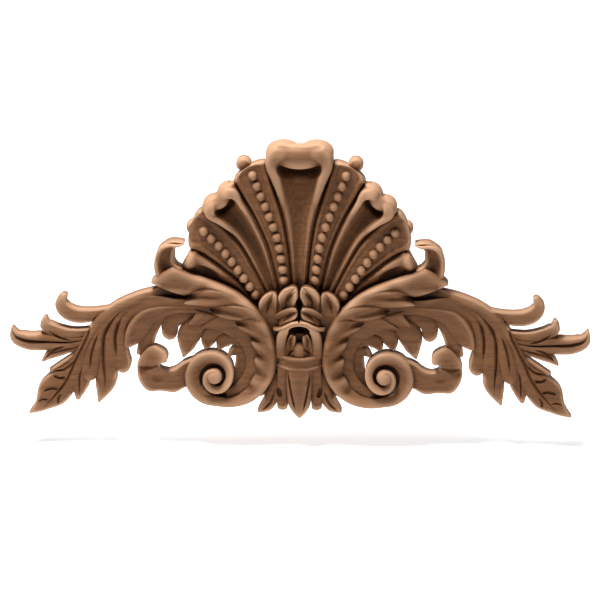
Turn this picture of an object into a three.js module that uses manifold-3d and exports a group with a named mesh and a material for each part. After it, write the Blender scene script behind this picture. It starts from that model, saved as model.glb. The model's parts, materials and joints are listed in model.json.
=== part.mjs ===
// Carved wood crest ornament: a shell between two acanthus scrolls, with long leaf wings and a tied bundle.
// It is cut from one board, so it is one solid.
// Millimetres; +X along the width, +Z up, the carved front towards -Y.
// The flat back lies in the plane y = 0, and the origin is on it, behind the tie of the bundle.
import * as THREE from "three";
import { mergeVertices } from "three/addons/utils/BufferGeometryUtils.js";
import Module from "manifold-3d";

// Driving dimensions, in millimetres.
const WIDTH = 400; // from wing tip to wing tip
const BOARD = 24; // thickness of the board that the carving is cut from
const BEAD_DIAMETER = 6.2;
const BEAD_RISE = 2.8; // how far a bead stands above the rib that carries it
const KNOB_DIAMETER = 10.6; // the balls behind the ends of the beaded ribs
const RIB_BEVEL = 1.2; // width of the bevel along each side of a shell rib
const TIE_RIM = 1.2; // how far the two rims of the tie stand out
const EYE_DIAMETER = 11; // button in the middle of a volute
const VEIN_WIDTH = 1.6; // V-cut veins of the wing leaves
const VEIN_DEPTH = 1.6;

// The carving is set out on a squared drawing, 400 squares wide, with heights for a board 24 units thick.
// Every point below is in squares from the origin, and every height is in those units above the back.
const SQUARE = WIDTH / 400;
const LEVEL = BOARD / 24;
const SPARE = 2; // wood below the back, planed off at the end
const LEAST = 1.5; // no carved surface comes nearer to the back
const WELD = 1e-3; // millimetres: corners closer than this are one corner
const GRAZE = 0.12; // millimetres: slivers thinner than this, where two strokes only graze, close up

// Cross-sections, from the left edge of a stroke (-1) to its right edge (1).
// Each pair is a place across the stroke and how far below the crest it lies, as a share of the fall.
const FLAT = [[-1, 0], [1, 0]];
const ROUND = [[-1, 1], [-0.45, 0.15], [0.45, 0.15], [1, 1]];
const CUP = [[-1, 0.12], [-0.8, 0], [0, 1], [0.8, 0], [1, 0.12]];
const FOLD = [[-1, 0.6], [-0.55, 0.1], [0, 1], [0.55, 0.1], [1, 0.6]];
const LEAN = [[-1, 0.4], [-0.6, 0], [0, 0.2], [1, 1]];
const FALLING = [[-1, 1], [0.2, 0.5], [0.8, 0], [1, 0.3]];
const RIMMED = [[-1, 0.6], [-0.8, 0], [-0.5, 1], [0.5, 1], [0.8, 0], [1, 0.6]];

const wasm = await Module();
wasm.setup();

// A closed three.js geometry as a solid that can be joined and cut.
function solidOf(geometry) {
  const bare = geometry.clone();
  bare.deleteAttribute("normal");
  bare.deleteAttribute("uv");
  const merged = mergeVertices(bare, WELD);
  const vertProperties = merged.attributes.position.array;
  const triVerts = new Uint32Array(merged.index.array);
  return new wasm.Manifold(new wasm.Mesh({ numProp: 3, vertProperties, triVerts }));
}

// A solid from loose positions and triangles, turned the right way out.
function closed(positions, triangles) {
  const geometry = new THREE.BufferGeometry();
  geometry.setAttribute("position", new THREE.Float32BufferAttribute(positions, 3));
  geometry.setIndex(triangles.flat());
  const made = solidOf(geometry);
  if (made.volume() > 0) return made;
  geometry.setIndex(triangles.flatMap(([a, b, c]) => [a, c, b]));
  return solidOf(geometry);
}

// A smooth curve through rows of numbers, read at place u, counted in rows.
function smooth(rows, u) {
  const last = rows.length - 1;
  const i = Math.min(Math.floor(u), last - 1);
  const t = u - i;
  const [a, b, c, d] = [i - 1, i, i + 1, i + 2].map((k) => rows[Math.max(0, Math.min(last, k))]);
  return b.map((q, k) => {
    const [p, r, s] = [a[k], c[k], d[k]];
    return q + 0.5 * t * (r - p + t * (2 * p - 5 * q + 4 * r - s + t * (3 * (q - r) + s - p)));
  });
}

// Rows of left x, z, right x, z and crest, from a spine of x, z, half width and crest.
function edgesOfSpine(spine) {
  return spine.map(([x, z, half, crest], k) => {
    const [aheadX, aheadZ] = smooth(spine, Math.min(k + 0.05, spine.length - 1));
    const [behindX, behindZ] = smooth(spine, Math.max(k - 0.05, 0));
    const length = Math.hypot(aheadX - behindX, aheadZ - behindZ);
    const [sideX, sideZ] = [(-(aheadZ - behindZ) / length) * half, ((aheadX - behindX) / length) * half];
    return [x + sideX, z + sideZ, x - sideX, z - sideZ, crest];
  });
}

// Rounds off the end of a stroke by drawing its two edges together over the length of the cap.
function capped(rows, cap) {
  const [before, end] = rows.slice(-2);
  const middle = ([lx, lz, rx, rz]) => [(lx + rx) / 2, (lz + rz) / 2];
  const [ax, az] = middle(before);
  const [bx, bz] = middle(end);
  const length = Math.hypot(bx - ax, bz - az);
  const round = [38, 84].map((degrees) => {
    const angle = THREE.MathUtils.degToRad(degrees);
    const along = (cap / length) * Math.sin(angle);
    const [cx, cz] = [bx + (bx - ax) * along, bz + (bz - az) * along];
    const [hx, hz] = [((end[0] - end[2]) / 2) * Math.cos(angle), ((end[1] - end[3]) / 2) * Math.cos(angle)];
    return [cx + hx, cz + hz, cx - hx, cz - hz, end[4]];
  });
  return [...rows, ...round];
}

// A carved stroke: its surface runs between a left and a right edge with a section across.
// It stands on the back. The section falls from the crest in proportion to the width of the stroke.
// A bevel slopes both sides off to the given levels.
function stroke({ spine, edges, section = ROUND, fall = 0.35, most = 8, bevel = 0, levels, cap = 0 }) {
  const open = spine ? edgesOfSpine(spine) : edges;
  const rows = cap ? capped(open, cap) : open;
  const positions = [];
  for (const [i, [lx, lz, rx, rz, crest]] of rows.entries()) {
    const half = Math.hypot(lx - rx, lz - rz) / 2;
    const inner = 1 - Math.min(bevel / half, 0.6);
    const drop = Math.min(fall * half, most);
    const across = section.map(([t, share]) => [t * inner, crest - drop * share]);
    if (bevel) {
      const level = levels[Math.min(i, levels.length - 1)];
      across.unshift([-1, level]);
      across.push([1, level]);
    }
    across.push([1, -SPARE], [-1, -SPARE]);
    for (const [t, height] of across) {
      const [x, z] = [(lx * (1 - t) + rx * (1 + t)) / 2, (lz * (1 - t) + rz * (1 + t)) / 2];
      const above = height < 0 ? height : Math.max(height, LEAST);
      positions.push(x * SQUARE, -above * LEVEL, z * SQUARE);
    }
  }
  const ring = section.length + 2 + (bevel ? 2 : 0);
  const triangles = [];
  const last = (rows.length - 1) * ring;
  for (let i = 0; i < last; i += ring)
    for (let j = 0; j < ring; j++) {
      const [a, b] = [i + j, i + ((j + 1) % ring)];
      triangles.push([a, a + ring, b], [b, a + ring, b + ring]);
    }
  for (let j = 1; j < ring - 1; j++) triangles.push([0, j, j + 1], [last, last + j + 1, last + j]);
  return closed(positions, triangles);
}

// A boss or a rolled lip: an oval, domed over. A dent in the middle of its upper side makes it a heart.
function pillow(shape) {
  const { at, wide, up, down = up, dent = 0, turn = 0, sides, rings = 2 } = shape;
  const { crest, rim, foot = -SPARE } = shape;
  const positions = [at[0] * SQUARE, -crest * LEVEL, at[1] * SQUARE];
  const place = (share, angle, height) => {
    const u = wide * Math.cos(angle);
    const above = Math.sin(angle) > 0;
    const hollow = above ? Math.exp(-((u / (0.3 * wide)) ** 2)) : 0;
    const v = (above ? up : down) * Math.sin(angle) - dent * hollow;
    const x = at[0] + share * (u * Math.cos(turn) - v * Math.sin(turn));
    const z = at[1] + share * (u * Math.sin(turn) + v * Math.cos(turn));
    positions.push(x * SQUARE, -height * LEVEL, z * SQUARE);
  };
  for (let k = 1; k <= rings + 1; k++)
    for (let i = 0; i < sides; i++) {
      const share = Math.min(k, rings) / rings;
      const dome = rim + (crest - rim) * Math.sqrt(1 - share ** 2.4);
      place(share, (i / sides) * 2 * Math.PI, k > rings ? foot : dome);
    }
  const under = positions.length / 3;
  positions.push(at[0] * SQUARE, -foot * LEVEL, at[1] * SQUARE);
  const triangles = [];
  for (let i = 0; i < sides; i++) {
    const next = (i + 1) % sides;
    triangles.push([0, 1 + i, 1 + next]);
    for (let k = 0; k < rings; k++) {
      const [a, b] = [1 + k * sides + i, 1 + k * sides + next];
      triangles.push([a, a + sides, b], [b, a + sides, b + sides]);
    }
    triangles.push([under, 1 + rings * sides + next, 1 + rings * sides + i]);
  }
  return closed(positions, triangles);
}

// Lines between the ribs of the shell, from the bundle up to the rim: x and z on the right-hand side.
const RIB_LINES = [
  [[4.6, 40], [6, 60], [8, 80], [11.5, 100], [17.5, 120], [22.8, 138]],
  [[12.5, 42], [16.5, 60], [21.8, 80], [30.5, 100], [37, 111], [45, 124.5]],
  [[19, 38], [29.5, 60], [40.5, 80], [48.8, 89.7], [58, 98.5], [66.5, 105]],
  [[25.2, 34], [38, 52], [50, 62.3], [58, 68.8], [67, 74.8], [74.5, 77.6]],
  [[31.6, 30.2], [44, 46], [56, 54], [64, 57.8], [74, 61.5], [81.5, 65]],
];

// Height of the bottom of the V between two ribs, at each point of a line.
const RIB_LEVELS = [7, 8, 9, 9.8, 10.2, 10.6];

// One rib of the shell, from one line to the next. It is bevelled down to the bottom of the V at both sides.
function rib(left, right, crests, options) {
  const edges = crests.map((crest, i) => [...left[i], ...right[i], crest]);
  return stroke({ edges, bevel: RIB_BEVEL / SQUARE, levels: RIB_LEVELS, ...options });
}

// The rolled lips that end the flutes of the shell.
const MIDDLE_LIP = { at: [0, 145.6], wide: 23.3, up: 11, down: 8.6, dent: 2.2, crest: 24, rim: 14 };
const SIDE_LIP = {
  at: [55, 112.6], turn: -0.66, wide: 14.6, up: 9.4, down: 6.6, dent: 3, crest: 22.5, rim: 14,
};
const LAST_LIP = { at: [77, 70.5], wide: 7.6, up: 4.2, turn: -1.05, crest: 17.5, rim: 11 };

// The shell: a middle flute, then a beaded rib, a flute, a beaded rib and a last flute on each side.
function shell() {
  const [first, second, third, fourth, fifth] = RIB_LINES;
  const acrossMiddle = first.map(([x, z]) => [-x, z]);
  const middle = [
    rib(acrossMiddle, first, [10, 11.5, 13, 14.5, 16.5, 19], { section: CUP, fall: 0.5, most: 11 }),
    pillow({ ...MIDDLE_LIP, sides: 24, rings: 3 }),
  ];
  const side = [
    rib(first, second, [9, 10, 11, 12, 12.5, 13], { section: FLAT, cap: 5.6 }),
    rib(second, third, [9.5, 11, 13, 15, 16.5, 18], { section: CUP, fall: 0.75, most: 9 }),
    rib(third, fourth, [8.5, 10, 11, 12, 12.5, 13], { section: FLAT, cap: 6 }),
    rib(fourth, fifth, [8, 10, 12, 13.5, 14.5, 15], { section: CUP, fall: 0.9 }),
    pillow({ ...SIDE_LIP, sides: 18 }),
    pillow({ ...LAST_LIP, sides: 10 }),
    knob([38.5, 139]),
    knob([73.4, 94.6]),
  ];
  return { middle, side };
}

// One of the balls that peep out behind the beaded ribs.
function knob(at) {
  const radius = KNOB_DIAMETER / SQUARE / 2;
  return pillow({ at, wide: radius, up: radius, crest: 11.5, rim: 6, sides: 10 });
}

// Rows of beads on the beaded ribs: how many, and the way that they follow.
// Each point of the way is x, z and the height of the rib there.
const BEAD_ROWS = [
  {
    count: 11,
    way: [
      [10.6, 56.5, 10],
      [12.4, 70.5, 10.5],
      [15.2, 85, 11.2],
      [20.2, 99.5, 12],
      [26.2, 114.6, 12.3],
      [31.9, 129.6, 13],
    ],
  },
  {
    count: 9,
    way: [
      [30.4, 45.8, 9.2],
      [38.4, 57.6, 10.3],
      [46.2, 68.8, 11.2],
      [55, 80, 12],
      [65.6, 90.6, 12.8],
    ],
  },
];
function beads() {
  const radius = BEAD_DIAMETER / SQUARE / 2;
  const rise = BEAD_RISE / LEVEL;
  return BEAD_ROWS.flatMap(({ count, way }) =>
    Array.from({ length: count }, (_, i) => {
      const [x, z, height] = smooth(way, (i / (count - 1)) * (way.length - 1));
      const dome = { crest: height + rise, rim: height - 0.6, foot: height - 3 };
      return pillow({ at: [x, z], wide: radius, up: radius, ...dome, sides: 6 });
    }),
  );
}

// The great acanthus leaf that sweeps round the scroll: outer edge x, z, inner edge x, z, and crest.
// Its inner edge runs from a leaf tip, where the crest is high, to a cleft, where it is low, and so on.
const GREAT_LEAF = [
  [86, 66.5, 97, 60, 18],
  [82, 64.5, 102.4, 54.4, 19.6],
  [74, 61.2, 93, 49.8, 19.8],
  [66, 58.6, 80, 45.4, 19.6],
  [60, 56.4, 77.2, 43.6, 19],
  [53, 53.6, 79.4, 40, 20.4],
  [46, 50.2, 69, 38.4, 20.2],
  [40, 46.6, 61, 36.2, 19.4],
  [34, 41.8, 59.8, 33, 20.6],
  [28, 35.6, 49.5, 29.4, 20.2],
  [24, 30.2, 43.4, 27.2, 19.4],
  [20.8, 24.4, 42.4, 23.8, 20.4],
  [18, 17.4, 34.6, 17, 19.2],
  [16.4, 10.6, 33, 13, 20],
  [15.6, 3.6, 29.4, 4.6, 19],
  [16, -4, 30.8, 0.6, 19.4],
  [18, -11.4, 29.8, -8.4, 18.4],
  [21.4, -17.4, 32.8, -13.4, 18.6],
  [26.6, -24, 35.8, -19.4, 17.4],
  [35, -30, 42.6, -24.6, 16.6],
  [46.5, -33, 50, -26.6, 15.8],
];

// Volute: distance from its centre to the outer edge and to the inner edge of the coil, and crest.
// There is one row for each quarter turn.
const VOLUTE_CENTRE = [58, -11];
const VOLUTE_COIL = [
  [21.4, 14.4, 15.5],
  [21, 11, 16],
  [17, 9, 16.6],
  [12.7, 7.4, 17.2],
  [12, 6.6, 17.8],
  [8.3, 2.5, 18.4],
];
const ROWS_PER_QUARTER = 3;
function coil() {
  const count = (VOLUTE_COIL.length - 1) * ROWS_PER_QUARTER;
  return Array.from({ length: count + 1 }, (_, k) => {
    const [outer, inner, crest] = smooth(VOLUTE_COIL, k / ROWS_PER_QUARTER);
    const angle = ((k / ROWS_PER_QUARTER - 1) * Math.PI) / 2;
    const [c, s] = [Math.cos(angle), Math.sin(angle)];
    const [x, z] = VOLUTE_CENTRE;
    return [x + outer * c, z + outer * s, x + inner * c, z + inner * s, crest];
  });
}

// The horn in which the great leaf ends: it rises, curls inwards and closes in a hood.
const HORN = [
  [82, 59, 6, 17],
  [90, 61.6, 8.2, 17.5],
  [92.5, 68, 7.2, 17],
  [91.3, 75, 5.6, 17],
  [87.5, 80.6, 3, 17.5],
  [79.4, 82.3, 0.3, 16],
];

// The second layer of the scroll: a lining band with two leaf tips.
// Each row is outer edge x, z, inner edge x, z, and crest.
const LINING = [
  [72, 36, 71, 31.2, 12.5],
  [66, 34, 77, 24, 13.5],
  [58, 32, 65.4, 25.4, 12],
  [53, 30, 69.6, 21.8, 13.5],
  [47, 27, 59, 21, 12.5],
  [39.5, 21, 44, 14, 12],
  [33, 12, 38.6, 6, 11.5],
  [29.5, -1, 37, -2, 11.5],
  [31.5, -13, 39.2, -10.5, 11.5],
  [37.5, -21.5, 44.5, -17.5, 11.5],
  [47, -28, 52, -22.6, 11.5],
];

// Leaflets that hang from the lining over the opening beside the volute.
const LEAFLETS = [
  { spine: [[37, 1, 3, 8], [42, 5.6, 3.4, 9], [46, 5, 3, 9], [49.6, 1.4, 0.6, 8]] },
  { spine: [[40, 11, 3, 8.5], [47, 13.8, 4, 9.5], [52.6, 12.6, 4.4, 9.5], [56, 6.6, 0.4, 8.5]] },
  { spine: [[52, 22, 4, 9], [59.6, 19.6, 5.4, 10], [63, 13, 4.4, 9.5], [64.2, 7.6, 0.4, 8.5]] },
  {
    spine: [
      [60, 28, 4, 9.5],
      [70, 25, 6.6, 10.5],
      [75.6, 17, 7.4, 10.5],
      [77.6, 9.6, 4.9, 10],
      [79.8, 2.2, 0.4, 9],
    ],
  },
  { spine: [[72, 33, 3, 9], [82, 30.6, 4.8, 10], [88.6, 26, 5.6, 10], [89.8, 19.5, 4.9, 9.5]], cap: 5.4 },
];
// Floor between the lining and the volute.
const FLOOR = [[40, 10, 4, 5], [39.4, -3, 4, 5], [42, -13, 5, 5], [50, -20, 5, 5], [60, -24, 4, 5]];

// The tail that springs from behind the volute and curls up: upper edge x, z, lower edge x, z, and crest.
const TAIL = [
  [70, 2, 74, -19, 11],
  [79.5, -1.4, 79.5, -20.4, 12],
  [85, -5.6, 86, -23.6, 12.5],
  [90, -7.6, 95, -23, 12.5],
  [94.6, -6.8, 104.5, -21.5, 13],
  [96.6, -5, 110.5, -14, 13.5],
  [96.8, -3.8, 112.3, -5.5, 14],
  [96, -2.9, 109.5, 2.5, 14.5],
  [94.6, -2.3, 102, 9.3, 15],
  [92.8, -1.9, 93, 6, 15.5],
  [91.4, -1.2, 90.8, 1.5, 15],
];

// The scroll on the right-hand side.
function scroll() {
  const eye = EYE_DIAMETER / SQUARE / 2;
  return [
    stroke({ edges: [...GREAT_LEAF, ...coil()], section: LEAN, fall: 0.5, most: 5 }),
    stroke({ spine: HORN, section: CUP, fall: 0.4 }),
    stroke({ edges: LINING, section: LEAN, fall: 0.3 }),
    ...LEAFLETS.map((leaflet) => stroke({ fall: 0.25, ...leaflet })),
    stroke({ spine: FLOOR, section: FLAT }),
    pillow({ at: [58.6, -10.8], wide: eye, up: eye, crest: 20, rim: 16, sides: 12 }),
    pillow({ at: VOLUTE_CENTRE, wide: 12, up: 12, crest: 9, rim: 9, sides: 10, rings: 1 }),
    stroke({ edges: TAIL, section: LEAN, fall: 0.25 }),
  ];
}

// Wing: the stem under the great leaf, its upper rib, the hooks on its upper edge and the fan of leaves.
// Each row is x, z, half width and crest.
const STEM = [
  [56, 36, 5, 9],
  [72, 39.5, 6.5, 10],
  [86, 41, 8, 10.5],
  [100, 39, 8.5, 10.5],
  [114, 34, 9.5, 10],
  [127, 25, 11, 9.5],
  [136, 13, 11, 9],
  [143, 1, 9, 8.5],
];
const UPPER_RIB = [
  [80, 45.4, 3.4, 12],
  [96, 46.4, 3.8, 13],
  [112, 42.4, 3.8, 13],
  [126, 36, 3.6, 12.5],
  [138, 26, 3.4, 12.5],
  [147, 13, 3, 12],
  [153, 1, 2.6, 11],
];
const UPPER_HOOK = [
  [128, 35, 2, 10.5],
  [141, 30.6, 4, 11],
  [152, 29.6, 5, 11],
  [160.4, 32, 5, 11.5],
  [164.6, 37.4, 4, 12],
  [161.2, 44, 0.5, 12],
];
const LOWER_HOOK = [
  [144, 19, 2, 10],
  [156, 16.6, 3, 11],
  [167, 17.6, 3.4, 11],
  [174.4, 20.4, 3.8, 11.5],
  [175.2, 26.4, 0.7, 12],
];
const TIP_LEAVES = [
  {
    spine: [
      [146, 13, 3, 10],
      [160, 11, 4.4, 11],
      [175, 11.2, 6.2, 11],
      [187, 11, 6, 11],
      [196, 14, 4.6, 11.5],
      [199.6, 21, 0.5, 12],
    ],
  },
  { spine: [[150, 9, 2.4, 9.5], [164, 5.4, 3.8, 10], [172, 2.4, 3.4, 10], [178.2, -2.8, 0.5, 9.5]] },
  { spine: [[150, 5, 2.4, 9.5], [158, -1.6, 3, 10], [165.5, -6.4, 2.8, 10], [173.2, -9, 0.5, 9.5]] },
];
const HANGING_LEAVES = [
  {
    spine: [
      [146, 14, 3.4, 10.5],
      [154, -4, 5.6, 10.5],
      [162, -16, 9.6, 10.5],
      [171, -26, 10.6, 10],
      [179.6, -34, 4.8, 9.5],
      [187.4, -39.4, 0.5, 9],
    ],
  },
  { spine: [[146, 4, 4, 9], [149.6, -12, 6, 9.5], [152.4, -22, 4.6, 9], [153.8, -29.8, 1.2, 8.5]] },
  {
    spine: [
      [118, 36.4, 2, 11.5],
      [127, 28, 3.6, 11.5],
      [131.4, 14, 4.6, 11],
      [132.6, -6, 6.6, 10.5],
      [134.6, -18, 7, 10],
      [139.2, -31.6, 0.5, 9],
    ],
  },
  {
    spine: [
      [110, 37, 2, 11.5],
      [119, 29, 2.8, 11.5],
      [123.4, 18, 3.4, 11],
      [123.6, 8, 4.6, 10.5],
      [122.6, -2.4, 6.2, 10],
    ],
    cap: 8,
  },
  {
    spine: [
      [124, 36, 2, 12],
      [134, 26, 3.4, 12],
      [139.6, 13, 4.6, 12],
      [143.4, 0, 5.8, 11.5],
      [145, -9, 6, 11],
    ],
    cap: 7,
  },
];

// Sheath leaf that wraps the root of the wing: inner edge x, z, outer edge x, z, and crest.
const SHEATH = [
  [70, 35.4, 70, 38.4, 11.5],
  [84, 32.6, 84, 38.4, 13],
  [94, 29.4, 97, 37.4, 14],
  [99.6, 26.2, 108, 34.6, 14.5],
  [103.4, 20.4, 115, 28.6, 14.5],
  [107, 14.8, 119.6, 20.4, 14],
  [111.4, 10.8, 120.8, 12.4, 13],
  [116, 8.4, 120.2, 7.6, 12],
];
// Leaf behind the sheath.
const UNDER_SHEATH = [
  [91, 34, 3, 9],
  [98, 27, 4, 10],
  [103.2, 18, 4.8, 10],
  [106.4, 10, 5.2, 9.5],
  [109.4, 3.2, 2, 9],
];

function wing() {
  return [
    stroke({ spine: STEM, section: FLAT }),
    stroke({ spine: UPPER_RIB, fall: 0.5 }),
    stroke({ spine: UPPER_HOOK, section: CUP, fall: 0.35 }),
    stroke({ spine: LOWER_HOOK, section: FOLD, fall: 0.4 }),
    ...TIP_LEAVES.map((leaf) => stroke({ ...leaf, section: FOLD, fall: 0.4 })),
    ...HANGING_LEAVES.map((leaf) => stroke({ ...leaf, fall: 0.25 })),
    stroke({ edges: SHEATH, section: FALLING, fall: 0.5 }),
    stroke({ spine: UNDER_SHEATH, fall: 0.25 }),
  ];
}

// The bundle of husk leaves over the tie.
const HUSKS = [
  { spine: [[20.3, 25, 4.6, 14], [21.4, 34, 5.8, 17.5], [19.4, 42, 4.4, 17]], cap: 4.6 },
  { spine: [[15.6, 30, 3.8, 13], [12.8, 36, 5, 17], [9.4, 43, 5.8, 19], [6.4, 49, 4.8, 18.5]], cap: 3.8 },
  { spine: [[17.4, 25, 4, 16], [11.2, 29.4, 4.6, 20], [5.8, 34, 4, 20.5]], cap: 4 },
];
const ARCH = [
  [14.6, 3, 3.2, 18.5],
  [13.8, 11, 3.4, 20.5],
  [12.2, 19, 3.2, 21.5],
  [7, 25, 2.6, 22],
  [-0.4, 27.6, 1.8, 22.5],
];
const ARCH_EAR = [[9, 23, 2, 19], [14, 23, 2.4, 19.5], [18.6, 23.6, 1.4, 17]];
const INNER_HUSK = [[8, 3, 3, 17.5], [6.2, 11, 3, 19], [4.2, 17.4, 1.8, 19]];
const CORE = [[0, 3, 15, 12], [0, 10, 16, 9], [0, 20, 18, 5], [0, 46, 18, 4]];

// Leaves and petals that hang below the tie.
const SIDE_PETAL = [[9.6, -3, 5, 18], [10.6, -14, 4.6, 15], [12, -24, 4.4, 13], [12, -31.4, 4, 11.5]];
const FLARE_LEAF = [[13, -10, 3, 13], [17.4, -22, 4.2, 13], [21.4, -30.4, 4.4, 12], [28.6, -36, 0.8, 10.5]];
const BACK_LEAF = [[15, -6, 3, 11], [19, -16.6, 4, 10.5], [27.4, -26, 0.6, 9.5]];
const BUD = [[0, -3, 9, 21.5], [0, -14, 8.2, 19], [0, -27, 7.6, 16], [0, -34, 6, 14.5], [0, -41, 0.4, 12]];

// The tie: a drum with two rims that follows the round of the bundle, from its left end to its right end.
function tie() {
  const half = 15.6;
  const edges = [-1, -0.8, -0.5, 0, 0.5, 0.8, 1].map((share) => {
    const x = share * half;
    const sag = 0.011 * x * x;
    const round = 14 + 8 * Math.sqrt(1 - 0.9 * share * share);
    return [x, 3.6 + sag, x, -6 + sag, round];
  });
  return stroke({ edges, section: RIMMED, fall: TIE_RIM / LEVEL, most: TIE_RIM / LEVEL });
}

// The bundle: what stands on the middle line, and what is on its right side.
function bundle() {
  const middle = [
    tie(),
    stroke({ spine: BUD, fall: 0.4 }),
    stroke({ spine: CORE, section: FLAT }),
    pillow({ at: [0, 7.4], wide: 5, up: 6.4, crest: 20.5, rim: 15, sides: 10 }),
  ];
  const side = [
    ...HUSKS.map((husk) => stroke({ section: FOLD, fall: 0.5, ...husk })),
    stroke({ spine: ARCH, fall: 0.5 }),
    stroke({ spine: ARCH_EAR, fall: 0.5 }),
    stroke({ spine: INNER_HUSK, fall: 0.6, cap: 2.4 }),
    stroke({ spine: SIDE_PETAL, fall: 0.3, cap: 2.4 }),
    stroke({ spine: FLARE_LEAF, section: FOLD, fall: 0.3 }),
    stroke({ spine: BACK_LEAF, fall: 0.3 }),
  ];
  return { middle, side };
}

// V-cut veins on the right-hand wing: x and z along each cut.
const VEINS = [
  [[121.6, 34.6], [130, 28], [135.6, 15], [136.6, 0], [135, -18]],
  [[148, 13], [154, 0], [161, -14.6], [178, -35]],
  [[151, -9], [152.8, -26]],
];

// Cuts a V along each line, to its depth below the surface that it crosses.
function veined(solid) {
  const mesh = new THREE.Mesh(geometryOf(solid));
  const ray = new THREE.Raycaster();
  const heightAt = (x, z) => {
    ray.set(new THREE.Vector3(x, -2 * BOARD, z), new THREE.Vector3(0, 1, 0));
    const [hit] = ray.intersectObject(mesh);
    return hit ? -hit.point.y : 0;
  };
  const cuts = VEINS.map((line) => veinCut(line, heightAt));
  return solid.subtract(wasm.Manifold.union([...cuts, ...cuts.map(mirrored)]));
}

// The wedge that cuts one vein: it reaches above the surface, and it is shallow at both ends of the line.
function veinCut(line, heightAt) {
  const clear = 1;
  const last = line.length - 1;
  const positions = line.flatMap(([x, z], k) => {
    const [ax, az] = line[Math.min(k + 1, last)];
    const [bx, bz] = line[Math.max(k - 1, 0)];
    const length = Math.hypot(ax - bx, az - bz);
    const deep = k % last ? VEIN_DEPTH : VEIN_DEPTH / 3;
    const half = ((VEIN_WIDTH / 2) * (deep + clear)) / VEIN_DEPTH;
    const [sx, sz] = [(-(az - bz) / length) * half, ((ax - bx) / length) * half];
    const [mx, mz] = [x * SQUARE, z * SQUARE];
    const top = heightAt(mx, mz);
    return [mx + sx, -top - clear, mz + sz, mx - sx, -top - clear, mz - sz, mx, deep - top, mz];
  });
  const triangles = [[0, 2, 1], [3 * last, 3 * last + 1, 3 * last + 2]];
  for (let k = 0; k < 3 * last; k += 3)
    for (let j = 0; j < 3; j++) {
      const [a, b] = [k + j, k + ((j + 1) % 3)];
      triangles.push([a, b, a + 3], [b, b + 3, a + 3]);
    }
  return closed(positions, triangles);
}

// The same solid on the other side of the middle.
function mirrored(solid) {
  return solid.mirror([1, 0, 0]);
}

// Planes off what stands behind the back.
function planed(solid) {
  const plane = new THREE.BoxGeometry(2 * WIDTH, BOARD, 2 * WIDTH).translate(0, BOARD / 2, 0);
  return solid.subtract(solidOf(plane));
}

// The joined solid as one mesh, without the slivers that are left where strokes only graze each other.
function mended(solid) {
  return solidOf(geometryOf(solid)).simplify(GRAZE);
}

// The one body that is the ornament, without loose crumbs.
function largest(solid) {
  return solid.decompose().reduce((best, body) => (body.volume() > best.volume() ? body : best));
}

// A solid's triangles as a three.js geometry.
function geometryOf(solid) {
  const { vertProperties, triVerts } = solid.getMesh();
  const geometry = new THREE.BufferGeometry();
  geometry.setAttribute("position", new THREE.BufferAttribute(new Float32Array(vertProperties), 3));
  geometry.setIndex(new THREE.BufferAttribute(new Uint32Array(triVerts), 1));
  geometry.computeVertexNormals();
  return geometry;
}

const { middle: shellMiddle, side: shellSide } = shell();
const { middle: bundleMiddle, side: bundleSide } = bundle();
const right = wasm.Manifold.union([...shellSide, ...beads(), ...scroll(), ...wing(), ...bundleSide]);
const joined = wasm.Manifold.union([right, mirrored(right), ...shellMiddle, ...bundleMiddle]);
const carved = largest(mended(veined(planed(joined))));

const wood = new THREE.MeshStandardMaterial({ color: 0xa77c5e, roughness: 0.62, metalness: 0 });
const ornament = new THREE.Mesh(geometryOf(carved), wood);
ornament.name = "carved_ornament";

const group = new THREE.Group();
group.add(ornament);
export default group;
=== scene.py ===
"""Carved wood crest ornament, dressed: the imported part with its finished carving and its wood.

The ornament is one piece of wood. Every stroke of the carving is lofted from named rows of numbers, the
strokes are joined, the veins are cut, and the result stands for the CAD node. Tables are in millimetres
from the origin behind the tie: x to the right, z up, and heights above the flat back.
"""

import json
import logging
import math
from collections.abc import Sequence
from dataclasses import dataclass, field, replace
from enum import Enum

import bpy
import numpy as np
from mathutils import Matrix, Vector
from mathutils.bvhtree import BVHTree

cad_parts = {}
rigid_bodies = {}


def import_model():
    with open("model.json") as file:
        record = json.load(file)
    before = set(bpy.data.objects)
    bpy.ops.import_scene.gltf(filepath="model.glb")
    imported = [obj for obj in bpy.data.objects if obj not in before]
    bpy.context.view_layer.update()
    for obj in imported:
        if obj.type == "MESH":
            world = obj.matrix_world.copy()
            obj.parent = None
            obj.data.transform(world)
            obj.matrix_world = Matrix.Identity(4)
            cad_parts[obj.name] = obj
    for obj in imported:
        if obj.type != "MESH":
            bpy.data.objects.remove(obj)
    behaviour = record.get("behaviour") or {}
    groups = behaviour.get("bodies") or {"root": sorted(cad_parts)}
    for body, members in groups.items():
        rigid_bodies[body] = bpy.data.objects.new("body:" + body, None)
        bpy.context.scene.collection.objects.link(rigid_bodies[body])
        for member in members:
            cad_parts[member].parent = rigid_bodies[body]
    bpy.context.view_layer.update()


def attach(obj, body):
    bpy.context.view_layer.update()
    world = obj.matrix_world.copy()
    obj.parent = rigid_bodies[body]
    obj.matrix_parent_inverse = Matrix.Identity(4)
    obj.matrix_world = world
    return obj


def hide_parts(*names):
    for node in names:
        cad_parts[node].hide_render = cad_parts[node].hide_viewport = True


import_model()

LOG = logging.getLogger("ornament")
NODE = "carved_ornament"
SLOT = "carved_wood"
BODY = "root"
PIECE = "carved_wood_ornament"
RECESS = "recess"
WHITE = (1, 1, 1, 1)
MM = 0.001
SPARE = 2.0  # wood below the back, planed off at the end
LEAST = 1.5  # no carved surface comes nearer to the back
STEP = 1.7  # distance between two stations of a stroke
EDGE = 0.35  # width of the worn arris along the edge of a stroke
WIDEST_BEVEL = 0.6  # greatest share of the half width that a bevel takes
NARROWEST = 0.15  # least half width of a stroke
NEARBY = 0.05  # how far to both sides a direction is read, in rows
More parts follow.
